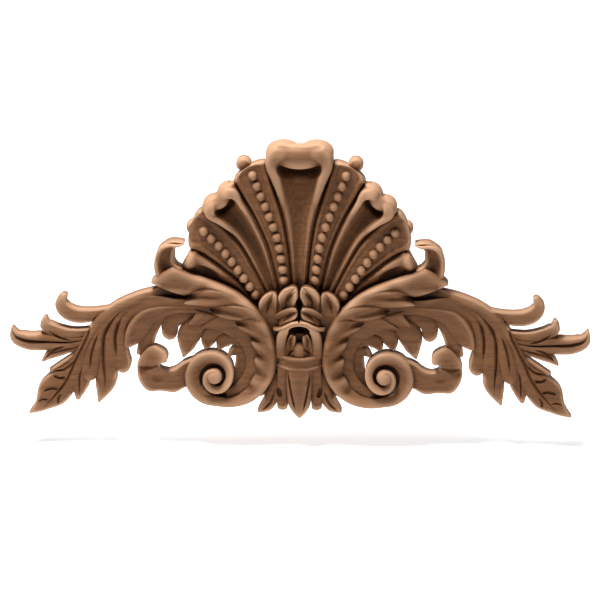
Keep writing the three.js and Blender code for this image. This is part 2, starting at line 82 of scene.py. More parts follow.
ROUND_END = (12, 24, 36, 48, 59, 69, 78, 85, 89)  # degrees at which a round end has its stations
RAY_START = -0.1  # in front of the carving, in metres

Row = tuple[float, ...]


def both_sides(half: list[tuple[float, float]]) -> tuple[tuple[float, float], ...]:
    """Complete a cross-section from its left half.

    Args:
        half: place from -1 to 0 and share of the fall, from the left edge to the middle.

    Returns:
        The pairs from -1 to 1.
    """
    return tuple(half) + tuple((-t, share) for t, share in reversed(half) if t < 0)


class Section(Enum):
    """Cross-sections: places across a stroke, and the share of its fall that each lies below the crest."""

    FLAT = both_sides([(-1, 0), (-0.5, 0), (0, 0)])
    FRAMED = both_sides([(-1, 0.3), (-0.9, 0), (-0.78, 0.1), (-0.68, 1), (-0.4, 1), (0, 1)])
    ROUND = both_sides([(-1, 1), (-0.94, 0.66), (-0.82, 0.4), (-0.62, 0.18), (-0.35, 0.05), (0, 0)])
    CUP = both_sides([(-1, 0.42), (-0.96, 0.16), (-0.9, 0.03), (-0.82, 0), (-0.74, 0.06), (-0.62, 0.24),
                      (-0.46, 0.55), (-0.3, 0.8), (-0.15, 0.95), (0, 1)])
    VALLEY = both_sides([(-1, 0.42), (-0.95, 0.1), (-0.89, 0), (-0.82, 0.02), (-0.72, 0.16), (-0.4, 0.42),
                         (-0.15, 0.7), (0, 1)])
    FOLD = both_sides([(-1, 0.85), (-0.94, 0.55), (-0.8, 0.25), (-0.58, 0.06), (-0.4, 0.04), (-0.22, 0.2),
                       (-0.08, 0.6), (0, 1)])
    LEAN = ((-1, 0.55), (-0.94, 0.25), (-0.84, 0.06), (-0.68, 0), (-0.5, 0.02), (-0.25, 0.1), (0.05, 0.24),
            (0.35, 0.42), (0.65, 0.64), (0.88, 0.84), (1, 1))
    FALLING = ((-1, 1), (-0.7, 0.86), (-0.35, 0.72), (0, 0.56), (0.3, 0.38), (0.55, 0.18), (0.72, 0.03),
               (0.84, 0), (0.94, 0.12), (1, 0.4))
    RIMMED = both_sides([(-1, 0.8), (-0.95, 0.3), (-0.87, 0.02), (-0.78, 0), (-0.68, 0.2), (-0.6, 0.75),
                         (-0.5, 1), (-0.25, 1), (0, 1)])


def smooth(rows: np.ndarray, u: np.ndarray) -> np.ndarray:
    """Read a smooth curve (Catmull-Rom) through rows of numbers.

    Args:
        rows: one row of numbers for each point of the curve.
        u: places along the curve, counted in rows.

    Returns:
        One row for each place.
    """
    last = len(rows) - 1
    i = np.clip(np.floor(u).astype(int), 0, last - 1)
    t = (u - i)[:, None]
    p, q, r, s = (rows[np.clip(i + k, 0, last)] for k in (-1, 0, 1, 2))
    return q + 0.5 * t * (r - p + t * (2 * p - 5 * q + 4 * r - s + t * (3 * (q - r) + s - p)))


def even_places(line: np.ndarray, step: float, least: int, fineness: int) -> np.ndarray:
    """Spread places evenly along a smooth line.

    Args:
        line: x and z of its points.
        step: distance between two places.
        least: number of steps that there are at least.
        fineness: parts in which each row is measured.

    Returns:
        The places, counted in rows.
    """
    fine = np.linspace(0, len(line) - 1, fineness * len(line))
    path = smooth(line, fine)
    along = np.concatenate([[0], np.cumsum(np.hypot(*np.diff(path, axis=0).T))])
    count = max(least, int(along[-1] / step)) + 1
    return np.interp(np.linspace(0, along[-1], count), along, fine)


def leftward(line: np.ndarray, u: np.ndarray) -> np.ndarray:
    """Directions across a smooth line.

    Args:
        line: x and z of its points.
        u: places along it, counted in rows.

    Returns:
        For each place the direction to its left, of length 1.
    """
    ahead = smooth(line, np.minimum(u + NEARBY, len(line) - 1))
    behind = smooth(line, np.maximum(u - NEARBY, 0))
    way = ahead - behind
    way /= np.hypot(*way.T)[:, None]
    return np.stack([-way[:, 1], way[:, 0]], 1)


@dataclass
class Solid:
    """A closed triangle mesh in millimetres, with its name."""

    name: str
    verts: np.ndarray
    tris: np.ndarray

    def mirrored(self) -> "Solid":
        """The same solid on the other side of the middle."""
        return Solid(self.name + "_left", self.verts * (-1, 1, 1), self.tris[:, ::-1])

    def outward(self) -> "Solid":
        """Turn the faces outwards.

        Returns:
            The solid, turned inside out if need be.
        """
        a, b, c = (self.verts[self.tris[:, k]] for k in range(3))
        volume = float(np.einsum("ij,ij->i", a, np.cross(b, c)).sum())
        return self if volume > 0 else Solid(self.name, self.verts, self.tris[:, ::-1])

    def mesh(self) -> bpy.types.Mesh:
        """Make a Blender mesh.

        Returns:
            The solid as a mesh in metres.
        """
        mesh = bpy.data.meshes.new(self.name)
        mesh.from_pydata((self.verts * MM).tolist(), [], self.tris.tolist())
        return mesh


@dataclass(frozen=True)
class Valley:
    """A soft valley across a stroke: it starts at the right edge and fades towards the left one.

    Row is its place at the right edge, counted in rows. Slant is how many rows on it lies at the left edge.
    """

    row: float
    slant: float = 0.0
    wide: float = 0.5
    deep: float = 3.0
    reach: float = 1.6  # how far it runs in from the right edge, where the whole width is 2

    def depth(self, u: np.ndarray, t: np.ndarray) -> np.ndarray:
        """Depth of the valley.

        Args:
            u: places along the stroke, in rows.
            t: place across it, from -1 to 1.

        Returns:
            The depth at each place.
        """
        centre = self.row + self.slant * (1 - t) / 2
        fade = np.clip((t - 1 + self.reach) / self.reach, 0, 1)
        return self.deep * fade * fade * (3 - 2 * fade) * np.exp(-(((u - centre) / self.wide) ** 2))


@dataclass
class Stroke:
    """A carved stroke: its surface runs between two edges with a section across, and stands on the back.

    Rows are x, z, half width and crest along a spine, or left x, z, right x, z and crest along two edges.
    """

    name: str
    rows: Sequence[Row]
    section: Section = Section.ROUND
    fall: float = 0.35  # how far the section goes down, as a share of the half width
    most: float = 8.0  # how far it goes down at most
    cap: float = 0.0  # length of the round far end
    bevel: float = 0.0  # width of the slope beside the section
    levels: Row = ()  # height of the foot of that slope at each row
    step: float = STEP
    pointed: float = 0.0  # share of straight lines in the right edge, which keeps its corners
    valleys: tuple[Valley, ...] = ()
    finer: int = 1  # each step of the section is divided into so many

    def profile(self) -> np.ndarray:
        """Divide the section as finely as asked.

        Returns:
            Pairs of place and share.
        """
        table = np.array(self.section.value, float)
        u = np.linspace(0, len(table) - 1, (len(table) - 1) * self.finer + 1)
        return np.stack([np.interp(u, range(len(table)), column) for column in table.T], 1)

    def stations(self) -> np.ndarray:
        """Sample the stroke.

        Returns:
            One row of left x, z, right x, z, crest, bevel level and place in rows for each station.
        """
        table = np.array(self.rows, float)
        centre = table[:, :2] if table.shape[1] == 4 else (table[:, 0:2] + table[:, 2:4]) / 2
        u = even_places(centre, self.step, len(table), fineness=40)
        levels = np.interp(u, range(len(self.levels)), self.levels) if self.levels else np.zeros(len(u))
        read = smooth(table, u)
        if table.shape[1] == 4:
            side = leftward(centre, u) * np.maximum(read[:, 2:3], NARROWEST)
            read = np.hstack([read[:, :2] + side, read[:, :2] - side, read[:, 3:4]])
        elif self.pointed:
            straight = np.stack([np.interp(u, range(len(table)), table[:, k]) for k in (2, 3)], 1)
            read[:, 2:4] += self.pointed * (straight - read[:, 2:4])
        read = np.hstack([read, levels[:, None], u[:, None]])
        return self.capped(read) if self.cap else read

    def capped(self, rows: np.ndarray) -> np.ndarray:
        """Round off the far end of the stroke.

        Args:
            rows: the stations.

        Returns:
            The stations with those of the round end added.
        """
        before, end = rows[-2:]
        middle = (end[:2] + end[2:4]) / 2
        way = middle - (before[:2] + before[2:4]) / 2
        way *= self.cap / np.hypot(*way)
        half = (end[:2] - end[2:4]) / 2
        added = []
        for angle in np.radians(ROUND_END):
            centre = middle + way * math.sin(angle)
            reach = half * math.cos(angle)
            added.append([*(centre + reach), *(centre - reach), *end[4:]])
        return np.vstack([rows, added])

    def solid(self) -> Solid:
        """Loft the stroke.

        Returns:
            A closed solid that reaches below the back.
        """
        rows = self.stations()
        left, right = rows[:, 0:2], rows[:, 2:4]
        half = np.hypot(*(left - right).T) / 2
        inner = 1 - np.minimum((self.bevel or EDGE) / half, WIDEST_BEVEL)
        drop = np.minimum(self.fall * half, self.most)
        columns = []
        for t, share in self.profile():
            sunk = sum(valley.depth(rows[:, 6], t) for valley in self.valleys)
            columns.append((t * inner, rows[:, 4] - drop * share - sunk))
        first, final = columns[0][1] - EDGE, columns[-1][1] - EDGE
        if self.bevel:
            first = final = rows[:, 5]
        ones = np.ones(len(rows))
        columns = [(-ones, first), *columns, (ones, final), (ones, -SPARE * ones), (-ones, -SPARE * ones)]
        verts = np.empty((len(rows), len(columns), 3))
        for j, (t, height) in enumerate(columns):
            share = ((1 + t) / 2)[:, None]
            place = left * (1 - share) + right * share
            verts[:, j, 0] = place[:, 0]
            verts[:, j, 2] = place[:, 1]
            verts[:, j, 1] = -np.where(height < 0, height, np.maximum(height, LEAST))
        return Solid(self.name, verts.reshape(-1, 3), tube_triangles(len(rows), len(columns))).outward()


def tube_triangles(rows: int, ring: int) -> np.ndarray:
    """Triangles of a closed loft.

    Args:
        rows: number of rings.
        ring: number of points in each ring.

    Returns:
        The triangles, with both ends closed.
    """
    tris = []
    last = (rows - 1) * ring
    for i in range(0, last, ring):
        for j in range(ring):
            a, b = i + j, i + (j + 1) % ring
            tris += [(a, a + ring, b), (b, a + ring, b + ring)]
    for j in range(1, ring - 1):
        tris += [(0, j, j + 1), (last, last + j + 1, last + j)]
    return np.array(tris)


@dataclass
class Boss:
    """A boss or a swelling of a lip: an oval, domed over."""

    name: str
    at: tuple[float, float]
    wide: float  # half width
    up: float  # how far it reaches up
    crest: float
    rim: float  # height of its rim
    down: float = 0.0  # how far it reaches down, 0 for as far as up
    turn: float = 0.0
    foot: float = -SPARE
    sides: int = 48
    rings: int = 8
    flatness: float = 2.4  # 2 is a round dome, more is flatter on top
    lean: float = 0.0  # how far the top of the dome stands above the middle of the oval
    under: float | None = None  # height of the rim at the lowest point of the oval

    def solid(self) -> Solid:
        """Build the boss.

        Returns:
            A closed solid.
        """
        angle = np.arange(self.sides) / self.sides * 2 * math.pi
        u = self.wide * np.cos(angle)
        v = np.where(np.sin(angle) > 0, self.up, self.down or self.up) * np.sin(angle)
        x = u * math.cos(self.turn) - v * math.sin(self.turn)
        z = u * math.sin(self.turn) + v * math.cos(self.turn)
        low = self.rim if self.under is None else self.under
        rim = self.rim + (low - self.rim) * np.maximum(-np.sin(angle), 0)
        top = (-self.lean * math.sin(self.turn), self.lean * math.cos(self.turn))
        verts = [(self.at[0] + top[0], -self.crest, self.at[1] + top[1])]
        for k in range(1, self.rings + 2):
            share = math.sin(min(k, self.rings) / self.rings * math.pi / 2)
            dome = rim + (self.crest - rim) * math.sqrt(max(1 - share**self.flatness, 0))
            heights = dome if k <= self.rings else np.full(self.sides, self.foot)
            middle = (self.at[0] + (1 - share) * top[0], self.at[1] + (1 - share) * top[1])
            verts += [(middle[0] + share * a, -h, middle[1] + share * b) for a, b, h in zip(x, z, heights)]
        verts.append((self.at[0], -self.foot, self.at[1]))
        n, bottom = self.sides, len(verts) - 1
        tris = []
        for i in range(n):
            j = (i + 1) % n
            tris.append((0, 1 + i, 1 + j))
            for k in range(self.rings):
                a, b = 1 + k * n + i, 1 + k * n + j
                tris += [(a, a + n, b), (b, a + n, b + n)]
            tris.append((bottom, 1 + self.rings * n + j, 1 + self.rings * n + i))
        return Solid(self.name, np.array(verts), np.array(tris)).outward()


@dataclass(frozen=True)
class Hollow:
    """A gouged hollow: an egg-shaped cutter."""

    name: str
    at: tuple[float, float, float]  # x, z and height of its middle
    size: tuple[float, float, float]  # half sizes across, along and in depth
    turn: float = 0.0
    sides: int = 32
    roundness: float = 1.0  # 1 is an oval, less is a rounded square

    def solid(self) -> Solid:
        """Build the cutter.

        Returns:
            A closed solid.
        """
        rings = self.sides // 2
        power = self.roundness
        verts = []
        for k in range(1, rings):
            out, deep = math.sin(math.pi * k / rings), math.cos(math.pi * k / rings)
            for i in range(self.sides):
                c, s = math.cos(2 * math.pi * i / self.sides), math.sin(2 * math.pi * i / self.sides)
                u = self.size[0] * out * math.copysign(abs(c) ** power, c)
                v = self.size[1] * out * math.copysign(abs(s) ** power, s)
                x = self.at[0] + u * math.cos(self.turn) - v * math.sin(self.turn)
                z = self.at[1] + u * math.sin(self.turn) + v * math.cos(self.turn)
                verts.append((x, -self.at[2] - self.size[2] * deep, z))
        return Solid(self.name, np.array(verts), tube_triangles(rings - 1, self.sides)).outward()


@dataclass
class RolledLip:
    """The end of a flute: its rims swell and roll over into a two-lobed lip with a hollow under its belly.

    Its tables are for a lip that is 23.3 mm from its middle to its side, and shrink with it. Heights don't.
    """

    name: str
    at: tuple[float, float]
    wide: float
    turn: float = 0.0
    crest: float = 24.0
    foot: float = 13.0  # height of the rims where they leave the flute
    drawn: float = 23.3
    rim_way: tuple[Row, ...] = (  # place across and along, and half width
        (9.3, -40, 1.7), (10.7, -34, 2.1), (12.8, -26, 2.6), (16.2, -15, 3.5), (18.8, -7, 4.2), (17.8, -1, 5),
        (14, 2, 6.4),
    )
    rim_fall: float = 0.55
    rim_cap: float = 3.0
    rim_sunk: float = 0.6  # how far the end of a rim lies below the crest
    lobe: Row = (11.4, 0.4, 11.9, 8.6, 8)  # place across and along, half width, up and down
    lobe_rim: float = 13.0
    belly: Row = (18, 8.4, 9.8)  # half width, up and down
    belly_heights: Row = (17, 13, 11)  # of its rim, of its lowest rim and of its foot
    belly_lean: float = 2.0
    sunk: float = 0.3  # how far the top of the belly lies below the crest
    hollow: Row = (-8.4, 15.4, 11.4)  # place along, half width and half height
    hollow_sunk: float = 5.0  # how far the middle of the hollow lies below the crest
    floor: float = 2.6  # height of the bottom of the hollow
    flatness: float = 2.1
    step: float = 1.2
    voxel: float = 0.85

    def place(self, u: float, v: float) -> tuple[float, float]:
        """Find a point of the lip.

        Args:
            u: its place across the flute on the drawing.
            v: its place along the flute.

        Returns:
            Its x and z.
        """
        unit, c, s = self.wide / self.drawn, math.cos(self.turn), math.sin(self.turn)
        return self.at[0] + unit * (u * c - v * s), self.at[1] + unit * (u * s + v * c)

    def boss(self, name: str, u: float, v: float, sizes: Row, **heights: float) -> Solid:
        """Build one swelling of the lip.

        Args:
            name: what it is.
            u: its place across the flute.
            v: its place along the flute.
            sizes: half width, and how far it reaches up and down.
            heights: crest, rim, under, foot and lean.

        Returns:
            The swelling.
        """
        wide, up, down = (size * self.wide / self.drawn for size in sizes)
        shape = Boss(f"{self.name}_{name}", self.place(u, v), wide, up, down=down, turn=self.turn,
                     flatness=self.flatness, **heights)
        return shape.solid()

    def sculpted(self, bench: "Bench", flute: Solid) -> Solid:
        """Sculpt the lip on its flute.

        Args:
            bench: what joins and cuts.
            flute: the flute.

        Returns:
            The flute with its lip, all soft.
        """
        unit = self.wide / self.drawn
        across, along, *sizes = self.lobe
        parts = []
        for side in (-1, 1):
            parts.append(self.boss("lobe", side * across, along, tuple(sizes), crest=self.crest,
                                   rim=self.lobe_rim, under=self.lobe_rim))
            rows = []
            for k, (u, v, half) in enumerate(self.rim_way):
                rise = math.sin(k / (len(self.rim_way) - 1) * math.pi / 2)
                height = self.foot + (self.crest - self.rim_sunk - self.foot) * rise
                rows.append((*self.place(side * u, v), half * unit, height))
            roll = Stroke(f"{self.name}_rim", rows, fall=self.rim_fall, cap=self.rim_cap * unit,
                          step=self.step)
            parts.append(roll.solid())
        ground = bench.combine(flute, parts, "UNION")
        down, wide, tall = self.hollow
        middle = (*self.place(0, down), self.crest - self.hollow_sunk)
        deep = middle[2] - self.floor
        egg = Hollow(f"{self.name}_hollow", middle, (wide * unit, tall * unit, deep), self.turn)
        ground = bench.combine(ground, [egg.solid()], "DIFFERENCE")
        rim, under, foot = self.belly_heights
        belly = self.boss("belly", 0, 0, self.belly, crest=self.crest - self.sunk, rim=rim, under=under,
                          foot=foot, lean=self.belly_lean * unit)
        return bench.melted(bench.combine(ground, [belly], "UNION"), self.voxel)


@dataclass
class BeadRow:
    """A row of beads on a beaded rib, made with Geometry Nodes along the way that the row follows."""

    name: str
    count: int
    way: Sequence[Row]  # x, z and height of the ground
    radius: float = 3.4
    rise: float = 1.4  # height of a bead's middle above the ground
    segments: int = 18
    fineness: int = 60  # points of the curve that carries the beads

    def tree(self, finish: bpy.types.Material) -> bpy.types.NodeTree:
        """Build the node tree that strings the beads.

        Args:
            finish: the material of the beads.

        Returns:
            The tree, with the inputs Bead Count and Bead Radius.
        """
        tree = bpy.data.node_groups.new("bead_row", "GeometryNodeTree")
        tree.interface.new_socket("Geometry", in_out="INPUT", socket_type="NodeSocketGeometry")
        tree.interface.new_socket("Bead Count", in_out="INPUT", socket_type="NodeSocketInt")
        tree.interface.new_socket("Bead Radius", in_out="INPUT", socket_type="NodeSocketFloat")
        tree.interface.new_socket("Geometry", in_out="OUTPUT", socket_type="NodeSocketGeometry")
        add, link = tree.nodes.new, tree.links.new
        given, result = add("NodeGroupInput"), add("NodeGroupOutput")
        curve, even = add("GeometryNodeMeshToCurve"), add("GeometryNodeResampleCurve")
        bead, string = add("GeometryNodeMeshUVSphere"), add("GeometryNodeInstanceOnPoints")
        real, dress = add("GeometryNodeRealizeInstances"), add("GeometryNodeSetMaterial")
        bead.inputs["Segments"].default_value = self.segments
        bead.inputs["Rings"].default_value = self.segments // 2
        dress.inputs["Material"].default_value = finish
        link(given.outputs["Geometry"], curve.inputs["Mesh"])
        link(curve.outputs["Curve"], even.inputs["Curve"])
        link(given.outputs["Bead Count"], even.inputs["Count"])
        link(given.outputs["Bead Radius"], bead.inputs["Radius"])
        link(even.outputs["Curve"], string.inputs["Points"])
        link(bead.outputs["Mesh"], string.inputs["Instance"])
        link(string.outputs["Instances"], real.inputs["Geometry"])
        link(real.outputs["Geometry"], dress.inputs["Geometry"])
        link(dress.outputs["Geometry"], result.inputs["Geometry"])
        return tree

    def solid(self, finish: bpy.types.Material) -> Solid:
        """String the beads and return them as one solid.

        Args:
            finish: the material of the beads.

        Returns:
            The beads of the row.
        """
        way = smooth(np.array(self.way, float), np.linspace(0, len(self.way) - 1, self.fineness))
        line = bpy.data.meshes.new(self.name)
        points = [(x * MM, -(h + self.rise) * MM, z * MM) for x, z, h in way]
        line.from_pydata(points, [(i, i + 1) for i in range(len(points) - 1)], [])
        holder = bpy.data.objects.new(self.name, line)
        bpy.context.scene.collection.objects.link(holder)
        tree = self.tree(finish)
        modifier = holder.modifiers.new("beads", "NODES")
        modifier.node_group = tree
        sockets = {s.name: s.identifier for s in tree.interface.items_tree if s.in_out == "INPUT"}
        modifier[sockets["Bead Count"]] = self.count
        modifier[sockets["Bead Radius"]] = self.radius * MM
        made = evaluated_mesh(holder)
        holder.modifiers.clear()
        bpy.data.objects.remove(holder)
        bpy.data.node_groups.remove(tree)
        return solid_of(made, self.name)


def evaluated_mesh(obj: bpy.types.Object) -> bpy.types.Mesh:
    """A plain mesh of an object with its modifiers applied."""
    graph = bpy.context.evaluated_depsgraph_get()
    return bpy.data.meshes.new_from_object(obj.evaluated_get(graph))


def solid_of(mesh: bpy.types.Mesh, name: str) -> Solid:
    """A solid from a Blender mesh in metres.

    Args:
        mesh: the mesh. It is used up.
        name: the solid's name.

    Returns:
        The same shape in triangles, in millimetres.
    """
    mesh.calc_loop_triangles()
    verts = np.empty(3 * len(mesh.vertices))
    mesh.vertices.foreach_get("co", verts)
    tris = np.empty(3 * len(mesh.loop_triangles), int)
    mesh.loop_triangles.foreach_get("vertices", tris)
    bpy.data.meshes.remove(mesh)
    return Solid(name, verts.reshape(-1, 3) / MM, tris.reshape(-1, 3)).outward()


@dataclass
class Bench:
    """Joins and cuts closed solids."""

    solver: str = "MANIFOLD"
    rounds: int = 12  # how often a melted solid is smoothed
    kept: float = 0.42  # share of its triangles that stay

    def combine(self, base: Solid, others: list[Solid], operation: str) -> Solid:
        """Join solids to a base, or cut them from it.

        Args:
            base: the first solid.
            others: the solids to join or cut.
            operation: UNION or DIFFERENCE.

        Returns:
            The result.
        """
        tray = bpy.data.collections.new("tray")
        bpy.context.scene.collection.children.link(tray)
        target = bpy.data.objects.new(base.name, base.mesh())
        bpy.context.scene.collection.objects.link(target)
        for other in others:
            tray.objects.link(bpy.data.objects.new(other.name, other.mesh()))
        modifier = target.modifiers.new("combine", "BOOLEAN")
        modifier.operation = operation
        modifier.operand_type = "COLLECTION"
        modifier.collection = tray
        modifier.solver = self.solver
        made = evaluated_mesh(target)
        for obj in [target, *tray.objects]:
            mesh = obj.data
            bpy.data.objects.remove(obj)
            bpy.data.meshes.remove(mesh)
        bpy.data.collections.remove(tray)
        return solid_of(made, base.name)

    def melted(self, solid: Solid, voxel: float) -> Solid:
        """Round off all edges of a solid, as sandpaper does.

        Args:
            solid: the solid.
            voxel: size of the smallest detail that stays, in millimetres.

        Returns:
            The soft solid.
        """
        target = bpy.data.objects.new(solid.name, solid.mesh())
        bpy.context.scene.collection.objects.link(target)
        remesh = target.modifiers.new("remesh", "REMESH")
        remesh.mode = "VOXEL"
        remesh.voxel_size = voxel * MM
        sanding = target.modifiers.new("sanding", "SMOOTH")
        sanding.iterations = self.rounds
        thinning = target.modifiers.new("thinning", "DECIMATE")
        thinning.ratio = self.kept
        made = evaluated_mesh(target)
        mesh = target.data
        bpy.data.objects.remove(target)
        bpy.data.meshes.remove(mesh)
        return solid_of(made, solid.name)

    def planed(self, solid: Solid) -> Solid:
        """Plane off what stands behind the back.

        Args:
            solid: the carving.

        Returns:
            The carving with a flat back.
        """
        wide, deep = 300.0, 10.0
        verts = np.array([(x, y, z) for x in (-wide, wide) for y in (0, deep) for z in (-wide, wide)])
        quads = [(0, 1, 3, 2), (4, 6, 7, 5), (0, 4, 5, 1), (2, 3, 7, 6), (0, 2, 6, 4), (1, 5, 7, 3)]
        tris = np.array([t for a, b, c, d in quads for t in ((a, b, c), (a, c, d))])
        return self.combine(solid, [Solid("plane", verts, tris).outward()], "DIFFERENCE")


@dataclass(frozen=True)
class Groove:
    """A V-cut groove that follows the surface, shallow at both ends."""

    line: tuple[Row, ...]
    wide: float = 1.7
    deep: float = 1.5
    clear: float = 1.0  # how far the wedge stands out of the surface
    step: float = 1.5
    onset: float = 4.5  # the higher, the sooner it reaches its full depth
    least: float = 0.12  # share of the depth at both ends

    def cutter(self, surface: BVHTree, name: str) -> Solid:
        """Build the wedge that cuts the groove.

        Args:
            surface: the carving, in metres.
            name: the wedge's name.

        Returns:
            The wedge, in millimetres.
        """
        table = np.array(self.line, float)
        u = even_places(table, self.step, 3, fineness=30)
        places = smooth(table, u)
        heights = np.array([surface_height(surface, x, z) for x, z in places])
        for _ in range(2):
            padded = np.pad(heights, 1, "edge")
            heights = (padded[:-2] + 2 * heights + padded[2:]) / 4
        share = np.linspace(0, 1, len(u))
        deep = self.deep * np.clip(self.onset * np.minimum(share, 1 - share), self.least, 1)
        half = self.wide / 2 * (deep + self.clear) / self.deep
        verts = []
        for (x, z), (sx, sz), h, d, w in zip(places, leftward(table, u), heights, deep, half):
            top = -h - self.clear
            verts += [(x + sx * w, top, z + sz * w), (x - sx * w, top, z - sz * w), (x, d - h, z)]
        return Solid(name, np.array(verts), tube_triangles(len(u), 3)).outward()


def surface_height(surface: BVHTree, x: float, z: float) -> float:
    """Height of the carving at a place, in millimetres above the back."""
    hit = surface.ray_cast(Vector((x * MM, RAY_START, z * MM)), Vector((0, 1, 0)))[0]
    return -hit.y / MM if hit else LEAST


def tree_of(solid: Solid) -> BVHTree:
    """A search tree over a solid, in metres."""
    return BVHTree.FromPolygons((solid.verts * MM).tolist(), solid.tris.tolist())


@dataclass
class Shell:
    """The shell: flutes and beaded ribs that fan from the bundle up to rolled lips."""

    lines: tuple[tuple[Row, ...], ...] = (  # between two ribs, from the middle outwards
        ((4.6, 40), (6, 60), (8, 80), (11.5, 100), (17.5, 120), (22.8, 138)),
        ((12.5, 42), (16.5, 60), (21.8, 80), (30.5, 100), (37, 111), (45, 124.5)),
        ((19, 38), (29.5, 60), (40.5, 80), (48.8, 89.7), (58, 98.5), (66.5, 105)),
        ((25.2, 34), (38, 52), (50, 62.3), (58, 68.8), (67, 74.8), (74.5, 77.6)),
        ((31.6, 30.2), (44, 46), (56, 54), (64, 57.8), (74, 61.5), (81.5, 65)),
    )
    levels: Row = (7, 8, 9, 9.8, 10.2, 10.6)
    bevel: float = 1.6
    middle_crests: Row = (10, 11.5, 13, 14.5, 16.5, 18.5)
    middle_end: Row = (-22, 148, 22, 148, 19)
    first_rib_crests: Row = (9.6, 11, 12.4, 13.5, 14.2, 14.8)
    side_crests: Row = (9.5, 11, 13, 15, 16.5, 17)
    second_rib_crests: Row = (9.2, 11, 12.4, 13.5, 14.2, 14.8)
    last_crests: Row = (8, 10.5, 13.5, 15, 16.5, 17.5)
    bead_ways: tuple[tuple[int, tuple[Row, ...]], ...] = (  # how many beads, and their way
        (11, ((10.6, 56.5, 10), (12.4, 70.5, 10.5), (15.2, 85, 11.2), (20.2, 99.5, 12), (26.2, 114.6, 12.3),
              (31.9, 129.6, 13))),
        (9, ((30.4, 45.8, 9.2), (38.4, 57.6, 10.3), (46.2, 68.8, 11.2), (55, 80, 12), (65.6, 90.6, 12.8))),
    )
    last_hollow: Hollow = Hollow("last_hollow", (62.5, 61.2, 14), (10, 3.6, 6.5), 0.5)
    last_lip: Boss = field(default_factory=lambda: Boss(
        "last_lip", (75, 70.6), 7.8, 3.2, 19, 10, down=6, turn=-1.03, flatness=2, foot=8))
    last_voxel: float = 0.8
    knobs: tuple[tuple[str, tuple[float, float], float], ...] = (  # place and radius
        ("first_knob", (38.4, 136.4), 5.2), ("second_knob", (73, 92.2), 4.9),
    )
    knob_heights: tuple[float, float] = (11.5, 6)  # crest and rim
    middle_lip: RolledLip = field(default_factory=lambda: RolledLip("middle_lip", (0, 143.8), 23.3))
    side_lip: RolledLip = field(default_factory=lambda: RolledLip(
        "side_lip", (54.2, 111.8), 14.3, turn=-0.72, crest=22.5, voxel=0.75, floor=4.5,
        rim_way=((12.4, -40, 1.8), (13.1, -34, 2.1), (14.1, -26, 2.5), (16, -15, 3.3), (18, -7, 4.2),
                 (17.8, -1, 5), (14, 2, 6.4)),
        lobe=(10.8, 1.2, 12.4, 10.8, 11.4), belly=(12, 8, 8.4), sunk=1.6, hollow=(-8.6, 13, 10.5)))

    def rib(self, name: str, k: int, crests: Row, section: Section, **options: float) -> Stroke:
        """Lay out one rib, from line k to the next.

        Args:
            name: the rib's name.
            k: which line is on its left.
            crests: height of its crest at each point.
            section: its cross-section.
            options: fall, most, cap and finer.

        Returns:
            The rib.
        """
        rows = [(*a, *b, crest) for a, b, crest in zip(self.lines[k], self.lines[k + 1], crests)]
        return Stroke(name, rows, section, bevel=self.bevel, levels=self.levels, **options)

    def middle(self, bench: Bench) -> list[Solid]:
        """Build what stands on the middle line.

        Args:
            bench: what joins and cuts.

        Returns:
            The middle flute with its lip.
        """
        rows = [(-x, z, x, z, crest) for (x, z), crest in zip(self.lines[0], self.middle_crests)]
        flute = Stroke("middle_flute", [*rows, self.middle_end], Section.CUP, fall=0.5, most=12,
                       bevel=self.bevel, levels=self.levels, finer=2)
        return [self.middle_lip.sculpted(bench, flute.solid())]

    def side(self, bench: Bench) -> list[Solid]:
        """Build what is on the right-hand side.

        Args:
            bench: what joins and cuts.

        Returns:
            The beaded ribs, the knobs, and the flutes with their lips.
        """
        flute = self.rib("side_flute", 1, self.side_crests, Section.CUP, fall=0.75, most=9, finer=2)
        last = self.rib("last_flute", 3, self.last_crests, Section.LEAN, fall=1.2, finer=2)
        parts = [
            self.rib("first_beaded_rib", 0, self.first_rib_crests, Section.FRAMED, fall=0.08, cap=4.4),
            self.rib("second_beaded_rib", 2, self.second_rib_crests, Section.FRAMED, fall=0.08, cap=5),
            *[Boss(name, at, radius, radius, *self.knob_heights) for name, at, radius in self.knobs],
        ]
        gouged = bench.combine(last.solid(), [self.last_hollow.solid()], "DIFFERENCE")
        rolled = bench.melted(bench.combine(gouged, [self.last_lip.solid()], "UNION"), self.last_voxel)
        lip = self.side_lip.sculpted(bench, flute.solid())
        return [*[part.solid() for part in parts], lip, rolled]

    def beads(self, finish: bpy.types.Material) -> list[Solid]:
        """String the beads on the right-hand side.

        Args:
            finish: the material of the beads.

        Returns:
            One solid for each row.
        """
        rows = [BeadRow(f"bead_row_{k}", count, way) for k, (count, way) in enumerate(self.bead_ways)]
        return [row.solid(finish) for row in rows]


